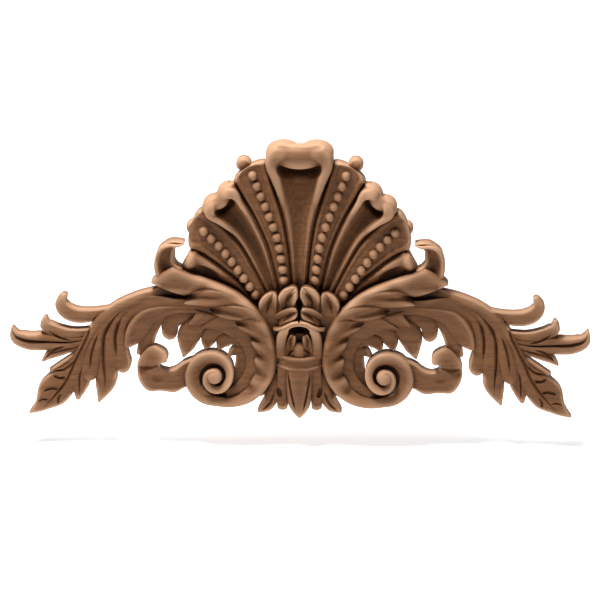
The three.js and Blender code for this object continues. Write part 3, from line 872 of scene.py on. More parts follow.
@dataclass
class Scroll:
    """The acanthus scroll: great leaf, horn, lining with leaflets, volute and tail."""

    centre: tuple[float, float] = (58, -11)
    leaf: tuple[Row, ...] = (
        (86, 66.5, 97, 60, 18), (82, 64.5, 102.4, 54.4, 19.6), (74, 61.2, 93, 49.8, 19.8),
        (66, 58.6, 80, 45.4, 19.6), (60, 56.4, 77.2, 43.6, 19), (53, 53.6, 79.4, 40, 20.4),
        (46, 50.2, 69, 38.4, 20.2), (40, 46.6, 61, 36.2, 19.4), (34, 41.8, 59.8, 33, 20.6),
        (28, 35.6, 49.5, 29.4, 20.2), (24, 30.2, 43.4, 27.2, 19.4), (20.8, 24.4, 42.4, 23.8, 20.4),
        (18, 17.4, 34.6, 17, 19.2), (16.4, 10.6, 33, 13, 20), (15.6, 3.6, 29.4, 4.6, 19),
        (16, -4, 30.8, 0.6, 19.4), (18, -11.4, 29.8, -8.4, 18.4), (21.4, -17.4, 32.8, -13.4, 18.6),
        (26.6, -24, 35.8, -19.4, 17.4), (35, -30, 42.6, -24.6, 16.6), (46.5, -33, 50, -26.6, 15.8),
    )
    valleys: tuple[Valley, ...] = (
        Valley(3.7, 3.2, 0.7, 5.6, 1.9), Valley(7.2, 2.8, 0.8, 5.2, 1.9), Valley(10.1, 1.8, 0.6, 4.4, 1.9),
        Valley(12.1, 1.4, 0.55, 4.4, 1.9), Valley(14.1, 1.1, 0.5, 4, 1.9), Valley(16, 0.6, 0.5, 3.6, 1.9),
        Valley(18, 0.2, 0.5, 2.8, 1.8), Valley(1.6, 1, 0.5, 2, 1.6),
    )
    coil: tuple[Row, ...] = (  # outer radius, inner radius and crest at each quarter turn
        (21.4, 14.4, 15.5), (21, 11, 16), (17, 9, 16.6), (12.7, 7.4, 17.2), (12, 6.6, 17.8), (8.3, 2.5, 18.6),
        (5.4, 0.3, 19.6),
    )
    horn: tuple[Row, ...] = (
        (82, 59, 6, 16.5), (90, 61.6, 8.2, 16.5), (92.6, 68, 7.2, 16), (91.4, 75, 5.8, 16),
        (87.6, 80.8, 3.2, 16.5), (79.2, 82.5, 0.3, 16),
    )
    hood: tuple[Row, ...] = (
        (79.4, 82, 0.5, 17), (83.6, 80.9, 0.9, 18.4), (88.4, 81.2, 1.1, 19), (92.6, 80.2, 1.2, 19),
        (96.2, 77.2, 1, 18), (98.2, 72, 0.7, 16.8), (98.6, 66, 0.5, 15.6),
    )
    lining: tuple[Row, ...] = (
        (72, 36, 71, 31.2, 12.5), (66, 34, 77, 24, 13.5), (58, 32, 65.4, 25.4, 12),
        (52, 33, 69.6, 21.8, 13.5), (44, 30, 59, 21, 12.5), (36, 23, 44, 14, 12), (31, 13, 38.6, 6, 11.5),
        (27.4, -1, 37, -2, 11.5), (30, -13.6, 39.2, -10.5, 11.5), (37.5, -21.5, 44.5, -17.5, 11.5),
        (47, -28, 52, -22.6, 11.5),
    )
    leaflets: tuple[tuple[Row, ...], ...] = (
        ((37, 1, 3, 8), (42, 5.6, 3.4, 9), (46, 5, 3, 9), (49.6, 1.4, 0.6, 8)),
        ((40, 11, 3, 8.5), (47, 13.8, 4, 9.5), (53, 12, 4.9, 9.5), (56.4, 5.4, 0.4, 8.5)),
        ((52, 22, 4, 9), (59.6, 19.6, 5.4, 10), (63.4, 12.4, 5, 9.5), (64.8, 6, 0.4, 8.5)),
        ((60, 28, 4, 9.5), (70, 25, 6.6, 10.5), (76.2, 16.6, 8, 10.5), (78.2, 8.8, 5.6, 10),
         (80.4, 0.8, 0.4, 9)),
    )
    round_leaflet: tuple[Row, ...] = (
        (72, 33, 3, 9), (82.4, 30, 5.4, 10), (88.8, 25.4, 6.1, 10), (89.8, 18.6, 5.4, 9.5),
    )
    floor: tuple[Row, ...] = (
        (39.4, 10, 4, 8.5), (39.6, -3, 5, 8.5), (41.4, -13, 5, 8.5), (50, -20, 5, 8), (60, -24, 4, 7),
    )
    tail: tuple[Row, ...] = (
        (70, 2, 74, -19, 11), (79.5, -1.4, 79.5, -20.4, 12), (85, -5.6, 86, -23.6, 12.5),
        (90, -7.6, 95, -23, 12.5), (94.6, -6.8, 104.8, -22.8, 13), (96.6, -5, 110.9, -15, 13.5),
        (96.8, -3.8, 112.3, -5.5, 14), (96, -2.9, 109.5, 2.5, 14.5), (94.6, -2.3, 102, 9.3, 15),
        (92.8, -1.9, 93, 6, 15.5), (91.4, -1.2, 90.8, 1.5, 15),
    )
    tail_valleys: tuple[Valley, ...] = (Valley(5.7, -0.3, 0.4, 3.4, 1.3), Valley(3.4, 0.4, 0.5, 1.6, 1.2))
    grooves: tuple[Groove, ...] = (
        Groove(((97, -4), (103, -5.6), (112, -6.6)), 5, 2.2, onset=2.5),
        Groove(((50, 48.6), (57, 50.6), (64, 51.4), (70.6, 50.4), (78, 45)), 8, 2.8, onset=1.3),
        Groove(((30, 36), (36.6, 39), (45, 40.4), (53, 39.4), (61, 35.6)), 7, 2.5, onset=1.3),
        Groove(((26.6, 28.6), (33, 30.4), (38.6, 29.2), (44, 26)), 6, 1.8, onset=1.3),
    )
    hollows: tuple[Hollow, ...] = (
        Hollow("second_cleft", (60.6, 35, 17), (2.4, 1.2, 8), 0.3),
        Hollow("third_cleft", (43.2, 26, 17), (1.8, 1, 7), 0.6),
        Hollow("tail_dent", (97.4, -14, 15.5), (5.5, 5, 4.4)),
    )

    def coil_rows(self) -> list[Row]:
        """Wind the coil of the volute.

        Returns:
            Its rows, from below, anticlockwise inwards.
        """
        per_quarter = 4
        u = np.linspace(0, len(self.coil) - 1, (len(self.coil) - 1) * per_quarter + 1)
        rows = []
        x, z = self.centre
        for (outer, inner, crest), quarter in zip(smooth(np.array(self.coil, float), u), u):
            c, s = math.cos((quarter - 1) * math.pi / 2), math.sin((quarter - 1) * math.pi / 2)
            rows.append((x + outer * c, z + outer * s, x + inner * c, z + inner * s, crest))
        return rows

    def side(self) -> list[Solid]:
        """Build the scroll on the right-hand side.

        Returns:
            Its strokes and bosses.
        """
        strokes = [
            Stroke("great_leaf", [*self.leaf, *self.coil_rows()], Section.LEAN, 0.5, 5, step=1.1, finer=2,
                   pointed=0.6, valleys=self.valleys),
            Stroke("horn", self.horn, Section.CUP, 0.55),
            Stroke("hood", self.hood, fall=0.8, step=1),
            Stroke("lining", self.lining, Section.LEAN, 0.3),
            Stroke("round_leaflet", self.round_leaflet, fall=0.25, cap=5.4),
            Stroke("floor", self.floor, Section.FLAT),
            Stroke("tail", self.tail, Section.LEAN, 0.25, step=1.1, finer=2, valleys=self.tail_valleys),
            *[Stroke(f"leaflet_{k}", rows, fall=0.25) for k, rows in enumerate(self.leaflets)],
        ]
        bosses = [
            Boss("eye", (58.6, -10.8), 5.5, 5.5, 20, 16),
            Boss("volute_ground", self.centre, 12, 12, 9, 9, rings=1),
        ]
        return [part.solid() for part in strokes + bosses]


@dataclass
class Wing:
    """The wing: stem, upper rib, hooks on its upper edge, and the leaves that fan from it."""

    stem: tuple[Row, ...] = (
        (56, 36, 5, 10), (72, 37.6, 4.8, 12), (86, 38, 5, 12.6), (100, 37.6, 7.4, 12.6), (114, 34, 9.5, 11.6),
        (127, 25, 11, 9.5), (136, 13, 11, 9), (143, 1, 9, 8.5),
    )
    upper_rib: tuple[Row, ...] = (
        (74, 44, 4, 7), (84, 45.8, 4, 7), (92, 47, 3.4, 8), (100, 45.8, 3.7, 11.5), (112, 42.4, 3.8, 13),
        (126, 36, 3.6, 12.5), (138, 26, 3.4, 12.5), (147, 13, 3, 12), (153, 1, 2.6, 11),
    )
    upper_hook: tuple[Row, ...] = (
        (128, 35, 2, 10.5), (141, 30.8, 4.2, 11), (152, 29.8, 5.2, 11), (160.4, 32.6, 5.2, 11.5),
        (164.3, 38.4, 4.3, 12), (162.6, 43.4, 2.3, 12),
    )
    lower_hook: tuple[Row, ...] = (
        (144, 19.4, 2, 10), (156, 17.4, 3.2, 11), (167.4, 19, 4, 11), (175.2, 22.8, 4, 11.5),
        (175.6, 28.8, 0.9, 12),
    )
    tips: tuple[tuple[Row, ...], ...] = (
        ((146, 13, 3, 10), (160, 11, 4.4, 11), (175, 11.2, 6.2, 11), (187, 11.2, 6, 11),
         (195.6, 14.4, 4.4, 11.5), (198.6, 21.4, 0.5, 12)),
        ((150, 9, 2.4, 9.5), (164, 5.4, 3.8, 10), (172, 2.4, 3.4, 10), (178.2, -2.8, 0.5, 9.5)),
        ((150, 5, 2.4, 9.5), (158, -1.6, 3, 10), (165.5, -6.4, 2.8, 10), (173.2, -9, 0.5, 9.5)),
    )
    hanging: tuple[tuple[float, tuple[Row, ...]], ...] = (  # length of the round end, and rows
        (0, ((146, 14, 3.4, 10.5), (154, -4, 5.6, 10.5), (162.4, -15.4, 9.8, 10.5), (171.6, -25.4, 10.9, 10),
             (179.6, -34, 4.8, 9.5), (187.4, -39.4, 0.5, 9))),
        (0, ((146, 4, 4, 9), (149.6, -12, 6, 9.5), (152.4, -22, 4.6, 9), (153.8, -29.8, 1.2, 8.5))),
        (0, ((118, 36.4, 2, 11.5), (127, 28, 3.6, 11.5), (131.4, 14, 4.6, 11), (132.6, -6, 6.6, 10.5),
             (134.6, -18, 7, 10), (139.2, -31.6, 0.5, 9))),
        (8, ((110, 37, 2, 11.5), (119, 29, 2.8, 11.5), (123.4, 18, 3.4, 11), (123.6, 8, 4.6, 10.5),
             (122.6, -2.4, 6.2, 10))),
        (7, ((124, 36, 2, 12), (134, 26, 3.4, 12), (139.6, 13, 4.6, 12), (143.4, 0, 5.8, 11.5),
             (145, -9, 6, 11))),
    )
    sheath: tuple[Row, ...] = (
        (70, 35.4, 70, 38.4, 11.5), (84, 32.6, 84, 38.4, 13), (94, 29.4, 97, 37.4, 14),
        (99.6, 26.2, 108, 34.6, 14.5), (103.4, 20.4, 115, 28.6, 14.5), (107, 14.8, 119.6, 20.4, 14),
        (111.4, 10.8, 120.8, 12.4, 13), (116, 8.4, 120.2, 7.6, 12),
    )
    under_sheath: tuple[Row, ...] = (
        (91, 34, 3, 9), (98, 27, 4, 10), (103.2, 18, 4.8, 10), (106.4, 10, 5.2, 9.5), (110.2, 2, 3, 9),
    )
    grooves: tuple[Groove, ...] = (
        Groove(((122.2, 34.2), (127.7, 28.6), (132, 22.4), (134.8, 15.5), (135.6, 7.5), (135.6, -3.4),
                (134.6, -15), (134.8, -22.5)), 2.9, 2.6),
        Groove(((122.6, 29), (125.4, 23), (127, 16.5), (127.2, 10), (126.5, 0.6)), 2.5, 2.2),
        Groove(((137.4, 34), (143, 25.4), (146.3, 16), (150.8, 6.5), (155.6, -3.4), (158.9, -11.6),
                (163.5, -19.3), (169.3, -26.5), (177.5, -35.6)), 2.6, 2.4),
        Groove(((138.8, 18), (142, 9.5), (144.1, 0.6), (144.9, -8)), 2.4, 2.2),
        Groove(((150.6, -7), (152.4, -15), (152.6, -27)), 1.7, 1.6),
        Groove(((157.5, 12.6), (164, 13.9), (169, 16.2), (173, 19.4)), 2.3, 2.2),
        Groove(((155, 11.4), (165, 10.9), (176, 11.3), (188, 12), (194.2, 14.2), (199, 18.4)), 2, 2.1),
        Groove(((161.5, 8.6), (168.5, 6.2), (173, 2.6), (177, -1.8)), 2.1, 2),
        Groove(((155.4, -1), (159.4, -6), (164.6, -8.8), (171, -8.8)), 2.4, 2.2),
        Groove(((161.8, -13.2), (165.8, -14.4), (170.6, -12.6)), 3, 2.3, onset=6),
        Groove(((166.6, -22.4), (172, -21.8), (177.4, -24)), 3.2, 2.3, onset=6),
        Groove(((165.2, -25.6), (167.3, -29.6), (166.9, -33.4)), 2, 1.8),
        Groove(((173.6, -30), (178, -29.6), (181.5, -31.4)), 1.8, 1.6),
    )

    def side(self) -> list[Solid]:
        """Build the wing on the right-hand side.

        Returns:
            Its strokes.
        """
        strokes = [
            Stroke("stem", self.stem, Section.FLAT),
            Stroke("upper_rib", self.upper_rib, fall=0.35),
            Stroke("upper_hook", self.upper_hook, fall=0.3, cap=2),
            Stroke("lower_hook", self.lower_hook, fall=0.3),
            *[Stroke(f"tip_leaf_{k}", rows, Section.FOLD, 0.4) for k, rows in enumerate(self.tips)],
            *[Stroke(f"hanging_leaf_{k}", rows, fall=0.25, cap=cap)
              for k, (cap, rows) in enumerate(self.hanging)],
            Stroke("sheath", self.sheath, Section.FALLING, 0.5),
            Stroke("under_sheath", self.under_sheath, fall=0.25),
        ]
        return [stroke.solid() for stroke in strokes]


@dataclass
class Bundle:
    """The bundle of husk leaves, its tie, and the bud and petals below it."""

    tie_half: float = 15.6
    tie_edges: tuple[float, float] = (3.6, -6)  # upper and lower edge at the middle
    tie_rise: float = 0.011  # how fast both edges rise to the sides
    tie_crests: tuple[float, float] = (14, 8)  # height at the back of the round, and how far it swells
    tie_round: float = 0.9
    tie_stations: int = 15
    husks: tuple[tuple[Row, ...], ...] = (
        ((12.6, 20, 20, 19, 14), (14, 30, 24.6, 28.6, 15.5), (15, 37, 28, 37.6, 17.6),
         (14.6, 42.5, 26.8, 43, 19), (15, 46, 23.6, 46.6, 19), (16.2, 48.2, 19.6, 48.6, 18.4)),
        ((7, 28, 14, 28, 15), (4, 38, 13.6, 38.5, 17.6), (2.5, 41.5, 14.6, 43.5, 19.8), (1, 45, 13.8, 47, 21),
         (0.7, 48.6, 10.8, 50.8, 21.6), (1.2, 51.4, 6.8, 52.8, 21.4), (2.4, 52.7, 4, 53.2, 20.8)),
        ((17, 33, 13, 24.5, 17), (12, 36.5, 9.6, 27.2, 19.6), (7, 38.4, 5.6, 29, 20.4),
         (3, 38.6, 2.2, 31, 20.6), (1.3, 37.4, 1.2, 34, 20.2)),
    )
    arch: tuple[Row, ...] = (
        (15.6, 3, 8.6, 3, 19), (15.8, 12, 9, 12, 20.6), (15, 19, 8.5, 18, 21.6), (12.3, 23.5, 6.9, 22, 22),
        (8, 26.4, 4.7, 24.4, 22.4), (4, 28.2, 2.2, 25.6, 22.6), (-0.4, 29, -0.4, 26, 22.8),
    )
    collar: tuple[Row, ...] = (
        (-0.4, 28.8, 0.8, 23.4), (5.2, 27.8, 0.9, 23.2), (9.6, 25.4, 1, 22.6), (13.6, 23.4, 1.3, 21),
        (17.6, 23.2, 1.2, 18.4),
    )
    inner_husk: tuple[Row, ...] = (
        (4.4, 3, 9.2, 3, 18), (3.5, 9, 9.3, 9, 19), (2.6, 13.5, 8.8, 13.5, 19.8),
        (2.3, 17.5, 7.4, 17.6, 19.6), (2.9, 19.9, 5.8, 20, 19.2),
    )
    core: tuple[Row, ...] = (
        (0, 3, 18, 13), (0, 10, 18.6, 12.5), (0, 21, 19.6, 13.5), (0, 28.5, 25, 15), (0, 36, 25, 15.5),
        (0, 45.6, 15, 14.5),
    )
    side_petal: tuple[Row, ...] = (
        (10, -3, 5, 18), (11, -14, 4.4, 15.5), (11.8, -24, 4, 13.5), (11.8, -33.2, 3.6, 12),
    )
    flare_leaf: tuple[Row, ...] = (
        (11, -10, 18, -8, 13), (13, -23, 21.4, -19.6, 13.4), (15.8, -30.4, 24, -25.6, 13),
        (19.6, -35.2, 26.4, -30.4, 12.4), (24, -37, 28.6, -34.2, 11.6), (28.4, -37.2, 29.2, -36.4, 11),
    )
    back_leaf: tuple[Row, ...] = ((15, -6, 3, 11), (19, -16.6, 4, 10.5), (27.4, -26, 0.6, 9.5))
    bud: tuple[Row, ...] = (
        (0, -3, 9.4, 21.8), (0, -14, 8.9, 20.8), (0, -26, 8.2, 18.8), (0, -32, 7.2, 17.2), (0, -37, 4, 15.4),
        (0, -40.6, 0.4, 13.4),
    )
    grooves: tuple[Groove, ...] = (
        Groove(((7.7, -6), (5.9, -20), (2.6, -35.4)), 2, 2.5),
        Groove(((3.2, 10), (7.8, 5)), 1.7, 1.9),
        Groove(((16.8, -21), (20.4, -30), (26.4, -36)), 2.2, 2.2),
        Groove(((9.8, 40), (7.2, 46), (2.2, 50.4)), 2.6, 1.8, onset=3),
        Groove(((22.6, 33), (20.9, 41), (17.6, 46)), 2.6, 1.8, onset=3),
        Groove(((12, 27.6), (6.4, 33.4), (1.8, 36)), 2.4, 1.7, onset=3),
        Groove(((5.2, 10), (6, 15.4), (4, 19)), 1.6, 1.2),
    )
    hollows: tuple[Hollow, ...] = (
        Hollow("petal_recess", (14, -22.4, 14.4), (1.9, 4.2, 4), -0.3, roundness=0.8),
        Hollow("arch_hole", (0, 22.4, 20), (7.6, 3.9, 14)),
        Hollow("husk_hole", (0, 40.4, 18), (2.4, 5, 12)),
        Hollow("husk_slit", (0, 33, 20), (1.1, 5, 12)),
    )

    def tie(self) -> Stroke:
        """Lay out the tie, a drum with two rims that follows the round of the bundle.

        Returns:
            The tie, from left to right.
        """
        upper, lower = self.tie_edges
        ground, swell = self.tie_crests
        rows = []
        for share in np.linspace(-1, 1, self.tie_stations):
            x = share * self.tie_half
            rise = self.tie_rise * x * x
            crest = ground + swell * math.sqrt(1 - self.tie_round * share * share)
            rows.append((x, upper + rise, x, lower + rise, crest))
        return Stroke("tie", rows, Section.RIMMED, 1.3, 1.3)

    def middle(self) -> list[Solid]:
        """Build what stands on the middle line.

        Returns:
            The tie, the buds and the core.
        """
        parts = [
            self.tie(),
            Stroke("bud", self.bud, fall=0.4),
            Stroke("core", self.core, Section.FLAT),
            Boss("inner_bud", (0, 7.8), 5.4, 6.4, 20.6, 16),
        ]
        return [part.solid() for part in parts]

    def side(self) -> list[Solid]:
        """Build what is on the right-hand side.

        Returns:
            The husks, the arch with its collar, and the petals and leaves below the tie.
        """
        strokes = [
            *[Stroke(f"husk_{k}", rows, Section.VALLEY, 0.6, step=0.9) for k, rows in enumerate(self.husks)],
            Stroke("arch", self.arch, fall=0.4, step=1.2),
            Stroke("collar", self.collar, fall=0.8, step=1.2),
            Stroke("inner_husk", self.inner_husk, Section.VALLEY, 0.6, step=0.9),
            Stroke("side_petal", self.side_petal, fall=0.22, cap=2),
            Stroke("flare_leaf", self.flare_leaf, fall=0.35, step=1.2),
            Stroke("back_leaf", self.back_leaf, fall=0.3),
        ]
        return [stroke.solid() for stroke in strokes]


@dataclass(frozen=True)
class Pattern:
    """A noise pattern in the wood."""

    stretch: tuple[float, float, float]
    size: float
    detail: float
    low: float = 0.0  # what reads as none of it
    high: float = 1.0  # what reads as all of it


@dataclass(frozen=True)
class WoodFinish:
    """Bare close-grained hardwood: fine grain along the board, with painted shade in the hollows and a pale
    painted highlight, partly wear, on crests and the outline.
    """

    wood: tuple[float, float, float] = (0.15, 0.065, 0.027)
    # pale: painted highlight, partly wear, for crests and the outline
    pale: tuple[float, float, float] = (0.42, 0.242, 0.142)
    # deep: painted shade, the dark colour laid into the hollows where shade falls
    deep: tuple[float, float, float] = (0.036, 0.012, 0.005)
    pore: tuple[float, float, float] = (0.1, 0.045, 0.02)
    cloud: Pattern = Pattern((1, 1, 2.2), 14, 3, 0.35, 0.7)
    grain: Pattern = Pattern((0.06, 1, 1), 420, 4, 0.4, 0.66)
    pores: Pattern = Pattern((0.09, 1, 1), 1100, 2, 0.6, 0.7)
    fuzz: Pattern = Pattern((1, 1, 1), 160, 2)
    cloud_tone: float = 1.18  # how bright the wood is in a cloud
    grain_tone: float = 0.78  # how bright it is in a streak of the grain
    hollow: tuple[float, float] = (0.58, 0.94)  # recess at which the painted shade of the hollows starts, and is full
    highlight_and_wear: tuple[float, float] = (0.42, 0.02)  # recess at which the pale painted highlight, partly wear, starts, and is full
    roughness: float = 0.6
    specular: float = 0.15
    grain_bump: tuple[float, float] = (0.25, 0.0004)  # strength, and height in metres
    fuzz_bump: tuple[float, float] = (0.3, 0.0008)

    def material(self) -> bpy.types.Material:
        """Build the material.

        Returns:
            The material of the wood.
        """
        made = bpy.data.materials.new(SLOT)
        made.use_nodes = True
        nodes, link = made.node_tree.nodes, made.node_tree.links.new
        shader = nodes["Principled BSDF"]
        place = nodes.new("ShaderNodeTexCoord")

        def noise(pattern: Pattern) -> bpy.types.NodeSocket:
            """Lay a noise pattern over the board.

            Args:
                pattern: its stretch, size and detail.

            Returns:
                The pattern as it comes.
            """
            mapping = nodes.new("ShaderNodeMapping")
            mapping.inputs["Scale"].default_value = pattern.stretch
            texture = nodes.new("ShaderNodeTexNoise")
            texture.inputs["Scale"].default_value = pattern.size
            texture.inputs["Detail"].default_value = pattern.detail
            link(place.outputs["Object"], mapping.inputs["Vector"])
            link(mapping.outputs["Vector"], texture.inputs["Vector"])
            return texture.outputs["Fac"]

        def ramp(value: bpy.types.NodeSocket, low: float, high: float) -> bpy.types.NodeSocket:
            """Stretch a value.

            Args:
                value: the value.
                low: what becomes 0.
                high: what becomes 1.

            Returns:
                The value between 0 and 1.
            """
            span = nodes.new("ShaderNodeMapRange")
            span.inputs["From Min"].default_value = low
            span.inputs["From Max"].default_value = high
            link(value, span.inputs["Value"])
            return span.outputs["Result"]

        def mix(factor: bpy.types.NodeSocket, one: object, two: object) -> bpy.types.NodeSocket:
            """Mix two colours.

            Args:
                factor: how much of the second one.
                one: the first, a socket or a plain colour.
                two: the second.

            Returns:
                The mixed colour.
            """
            blend = nodes.new("ShaderNodeMix")
            blend.data_type = "RGBA"
            link(factor, blend.inputs["Factor"])
            for key, colour in (("A", one), ("B", two)):
                socket = next(s for s in blend.inputs if s.name == key and s.type == "RGBA")
                if isinstance(colour, tuple):
                    socket.default_value = (*colour, 1)
                else:
                    link(colour, socket)
            return next(s for s in blend.outputs if s.type == "RGBA")

        def bump(height: bpy.types.NodeSocket, sizes: tuple[float, float]) -> bpy.types.Node:
            """Roughen the surface.

            Args:
                height: the pattern.
                sizes: strength, and height in metres.

            Returns:
                The node that does it.
            """
            made_bump = nodes.new("ShaderNodeBump")
            made_bump.inputs["Strength"].default_value, made_bump.inputs["Distance"].default_value = sizes
            link(height, made_bump.inputs["Height"])
            return made_bump

        patterns = (self.cloud, self.grain, self.pores)
        cloud, grain, pores = (ramp(noise(each), each.low, each.high) for each in patterns)
        relief = nodes.new("ShaderNodeAttribute")
        relief.attribute_name = RECESS
        # painted shade: mask over the hollows, from the recess attribute
        hollow = ramp(relief.outputs["Fac"], *self.hollow)
        highlight_and_wear = ramp(relief.outputs["Fac"], *self.highlight_and_wear)
        body = mix(cloud, self.wood, tuple(c * self.cloud_tone for c in self.wood))
        streaked = mix(grain, body, tuple(c * self.grain_tone for c in self.wood))
        pored = mix(pores, streaked, self.pore)
        # painted highlight, partly wear: the pale colour mixed onto crests and near the outline
        highlighted = mix(highlight_and_wear, pored, self.pale)
        # painted shade: the deep colour mixed over the hollows
        shaded_hollows = mix(hollow, highlighted, self.deep)
        link(shaded_hollows, shader.inputs["Base Color"])
        shader.inputs["Roughness"].default_value = self.roughness
        shader.inputs["Specular IOR Level"].default_value = self.specular
        fine = bump(grain, self.grain_bump)
        coarse = bump(noise(self.fuzz), self.fuzz_bump)
        link(fine.outputs["Normal"], coarse.inputs["Normal"])
        link(coarse.outputs["Normal"], shader.inputs["Normal"])
        return made


def blurred(grid: np.ndarray, spread: float) -> np.ndarray:
    """Blur a grid of numbers.

    Args:
        grid: the numbers.
        spread: how far the blur reaches, in cells.

    Returns:
        The blurred grid.
    """
    far = math.ceil(3 * spread)
    kernel = np.exp(-0.5 * (np.arange(-far, far + 1) / spread) ** 2)
    kernel /= kernel.sum()
    for axis in (0, 1):
        padded = np.pad(grid, far, "edge")
        grid = np.apply_along_axis(np.convolve, axis, padded, kernel, "same")[far:-far, far:-far]
    return grid


def between_cells(grid: np.ndarray, u: np.ndarray, v: np.ndarray) -> np.ndarray:
    """Read a grid at places between its cells.

    Args:
        grid: the numbers.
        u: places along the first axis, in cells.
        v: places along the second axis.

    Returns:
        One number for each place.
    """
    i, k = u.astype(int), v.astype(int)
    a, b = u - i, v - k
    low = grid[i, k] * (1 - a) + grid[i + 1, k] * a
    high = grid[i, k + 1] * (1 - a) + grid[i + 1, k + 1] * a
    return low * (1 - b) + high * b


@dataclass(frozen=True)
class Recess:
    """How deep each point lies in the carving around it, which tells where shade is painted into the hollows
    and a pale highlight, partly wear, onto the crests.

    The carving's heights are read on a grid and blurred, and each point is set against that. Points near
    the outline get the painted highlight, partly wear, and the back has one tone.
    """

    pitch: float = 1.0  # size of a cell
    reach: float = 4.0  # how far the blur reaches
    depth: float = 9.0  # from the highest crest to the deepest hollow
    margin: float = 8.0  # how far the grid reaches beyond the carving
    evened: float = 0.65  # how much the open air beside a point is left out: 0 not at all, 1 wholly
    least_wood: float = 0.3  # share of wood around a point that is counted at least
    rim: float = 1.8  # how far from the outline the painted highlight, partly wear, reaches
    rim_gain: float = 4.0  # how fast it grows towards the outline
    rim_highlight: float = 0.9  # how far the painted highlight lowers the share right at the outline
    even: float = 0.5  # share of even ground
    back: float = 0.4  # share of the back
    back_height: float = 0.5  # what lies lower counts as the back
    last_cell: float = 1.001  # keeps a place just inside the last cell

    def shares(self, solid: Solid) -> np.ndarray:
        """Work out the shares.

        Args:
            solid: the carving.

        Returns:
            A share for each point: 0 on a crest, 0.5 on even ground, 1 in a deep hollow.
        """
        across, height, up = solid.verts.T
        pitch, spread = self.pitch, self.reach / self.pitch
        surface = tree_of(solid)
        low, high = solid.verts[:, [0, 2]].min(0) - self.margin, solid.verts[:, [0, 2]].max(0) + self.margin
        xs, zs = np.arange(low[0], high[0], pitch), np.arange(low[1], high[1], pitch)
        heights = np.array([[surface_height(surface, x, z) for z in zs] for x in xs])
        outside = (heights <= LEAST).astype(float)
        around = blurred(heights * (1 - outside), spread)
        around /= np.maximum(blurred(1 - outside, spread), self.least_wood) ** self.evened
        air = blurred(outside, self.rim / pitch)
        u = np.clip((across - low[0]) / pitch, 0, len(xs) - self.last_cell)
        v = np.clip((up - low[1]) / pitch, 0, len(zs) - self.last_cell)
        share = np.clip(self.even + (between_cells(around, u, v) + height) / self.depth, 0, 1)
        # painted highlight, partly wear, on the walls and edges along the outline
        highlight_and_wear = np.clip(self.rim_gain * between_cells(air, u, v), 0, 1)
        share = np.minimum(share, 1 - self.rim_highlight * highlight_and_wear)
        return np.where(height > -self.back_height, self.back, share).astype(np.float32)


@dataclass
class Ornament:
    """The whole ornament, carved from one board."""

    shell: Shell = field(default_factory=Shell)
    scroll: Scroll = field(default_factory=Scroll)
    wing: Wing = field(default_factory=Wing)
    bundle: Bundle = field(default_factory=Bundle)
    finish: WoodFinish = WoodFinish()
    recess: Recess = Recess()
    bench: Bench = field(default_factory=Bench)
    crease: float = 38.0  # degrees: a sharper edge than this stays an edge

    def carved(self, finish: bpy.types.Material) -> Solid:
        """Join all strokes, plane the back and cut the veins.

        Args:
            finish: the material of the wood.

        Returns:
            The carving.
        """
        side = [
            *self.shell.side(self.bench), *self.shell.beads(finish), *self.scroll.side(), *self.wing.side(),
            *self.bundle.side(),
        ]
        middle = [*self.shell.middle(self.bench), *self.bundle.middle()]
        parts = [*middle, *side, *[part.mirrored() for part in side]]
        LOG.info("%d strokes, %d triangles", len(parts), sum(len(part.tris) for part in parts))
        joined = self.bench.planed(self.bench.combine(parts[0], parts[1:], "UNION"))
        surface = tree_of(joined)
        grooves = [*self.wing.grooves, *self.bundle.grooves, *self.scroll.grooves]
        cuts = [groove.cutter(surface, f"groove_{k}") for k, groove in enumerate(grooves)]
        cuts += [hollow.solid() for hollow in (*self.bundle.hollows, *self.scroll.hollows)]
        return self.bench.combine(joined, [*cuts, *[cut.mirrored() for cut in cuts]], "DIFFERENCE")

    def build(self) -> bpy.types.Object:
        """Make the finished piece.

        Returns:
            The object that stands for the CAD node.
        """
        finish = self.finish.material()
        solid = self.carved(finish)
        mesh = replace(solid, name=PIECE).mesh()
        mesh.materials.append(finish)
        mesh.shade_smooth()
        mesh.set_sharp_from_angle(angle=math.radians(self.crease))
        # recess shares, which the wood material turns into painted shade and painted highlight
        mesh.attributes.new(RECESS, "FLOAT", "POINT").data.foreach_set("value", self.recess.shares(solid))
        piece = bpy.data.objects.new(PIECE, mesh)
        bpy.context.scene.collection.objects.link(piece)
        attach(piece, BODY)
        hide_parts(NODE)
        LOG.info("%s: %d triangles", piece.name, len(solid.tris))
        return piece


@dataclass(frozen=True)
class Lamp:
    """A soft square light."""

    name: str
    place: tuple[float, float, float]
    size: float  # side of its square
    watts: float

    def hang(self, target: Vector) -> None:
        """Hang the light so that it faces a point.

        Args:
            target: the point.
        """
        data = bpy.data.lights.new(self.name, "AREA")
        data.size = self.size
        data.energy = self.watts
        lamp = bpy.data.objects.new(self.name, data)
        lamp.location = self.place
        lamp.rotation_euler = (target - Vector(self.place)).to_track_quat("-Z", "Y").to_euler()
        bpy.context.scene.collection.objects.link(lamp)


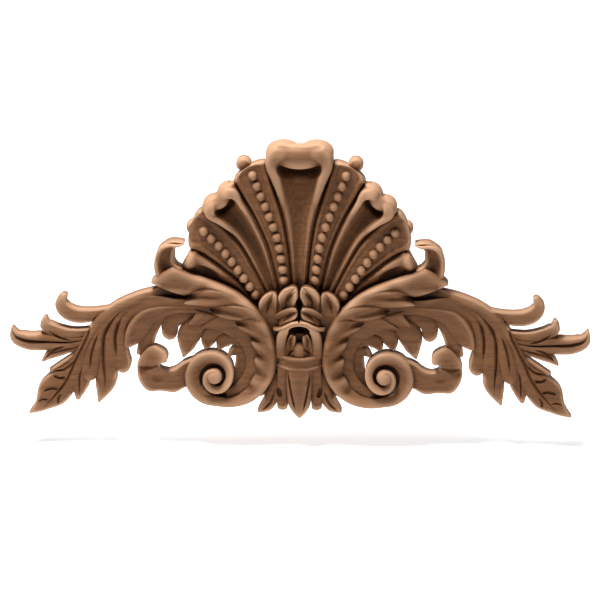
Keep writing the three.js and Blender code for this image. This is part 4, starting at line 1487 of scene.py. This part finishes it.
@dataclass
class Studio:
    """Pale paper that is swept up a little at its back, soft lights, and a camera at the viewing angle."""

    floor_level: float = -0.062
    front: float = -30.0  # where the paper starts
    bend: float = 0.7  # where it begins to curve up
    radius: float = 0.25
    half_width: float = 30.0
    paper: tuple[float, float, float] = (0.86, 0.86, 0.86)
    paper_roughness: float = 0.9
    glow: float = 0.4  # light of the paper itself
    air: float = 0.03  # light from all around
    lamps: tuple[Lamp, ...] = (
        Lamp("key_light", (-0.24, -0.24, 0.92), 0.3, 18.2),
        Lamp("fill_light", (0.3, -1.4, 0.5), 0.9, 0.86),
        Lamp("rim_light", (0, 0.36, 0.8), 0.7, 5),
    )
    target: tuple[float, float, float] = (0.0021, -0.012, 0.0409)
    distance: float = 3.0
    azimuth: float = 2.1
    elevation: float = 12.0
    width_seen: float = 0.4156
    sensor: float = 36.0

    def sweep(self) -> bpy.types.Object:
        """Lay the paper: a floor that curves up at its back, just high enough to fill the picture.

        Returns:
            The paper.
        """
        profile = [(self.front, self.floor_level), (self.bend, self.floor_level)]
        for degrees in range(10, 91, 10):
            along, rise = math.sin(math.radians(degrees)), 1 - math.cos(math.radians(degrees))
            profile.append((self.bend + self.radius * along, self.floor_level + self.radius * rise))
        verts = [(x, y, z) for y, z in profile for x in (-self.half_width, self.half_width)]
        quads = [(2 * i, 2 * i + 1, 2 * i + 3, 2 * i + 2) for i in range(len(profile) - 1)]
        mesh = bpy.data.meshes.new("studio_sweep")
        mesh.from_pydata(verts, [], quads)
        mesh.shade_smooth()
        paper = bpy.data.materials.new("studio_paper")
        paper.use_nodes = True
        shader = paper.node_tree.nodes["Principled BSDF"]
        shader.inputs["Base Color"].default_value = (*self.paper, 1)
        shader.inputs["Roughness"].default_value = self.paper_roughness
        shader.inputs["Emission Color"].default_value = WHITE
        shader.inputs["Emission Strength"].default_value = self.glow
        mesh.materials.append(paper)
        sweep = bpy.data.objects.new("studio_sweep", mesh)
        bpy.context.scene.collection.objects.link(sweep)
        return sweep

    def camera(self) -> None:
        """Set up the camera, at the viewing angle of the photograph."""
        data = bpy.data.cameras.new("camera")
        data.sensor_width = self.sensor
        data.lens = data.sensor_width * self.distance / self.width_seen
        az, el = math.radians(self.azimuth), math.radians(self.elevation)
        away = Vector((math.sin(az) * math.cos(el), -math.cos(az) * math.cos(el), math.sin(el)))
        camera = bpy.data.objects.new("camera", data)
        camera.location = Vector(self.target) + self.distance * away
        camera.rotation_euler = (-away).to_track_quat("-Z", "Y").to_euler()
        bpy.context.scene.collection.objects.link(camera)
        bpy.context.scene.camera = camera

    def build(self) -> None:
        """Set up the whole studio."""
        self.camera()
        self.sweep()
        for lamp in self.lamps:
            lamp.hang(Vector(self.target))
        world = bpy.data.worlds.new("studio_air")
        world.use_nodes = True
        world.node_tree.nodes["Background"].inputs["Color"].default_value = WHITE
        world.node_tree.nodes["Background"].inputs["Strength"].default_value = self.air
        bpy.context.scene.world = world
        bpy.context.scene.view_settings.view_transform = "Standard"


def main() -> None:
    """Build the studio and the ornament."""
    logging.basicConfig(level=logging.INFO, format="%(message)s")
    Studio().build()
    Ornament().build()


if __name__ == "__main__":
    main()
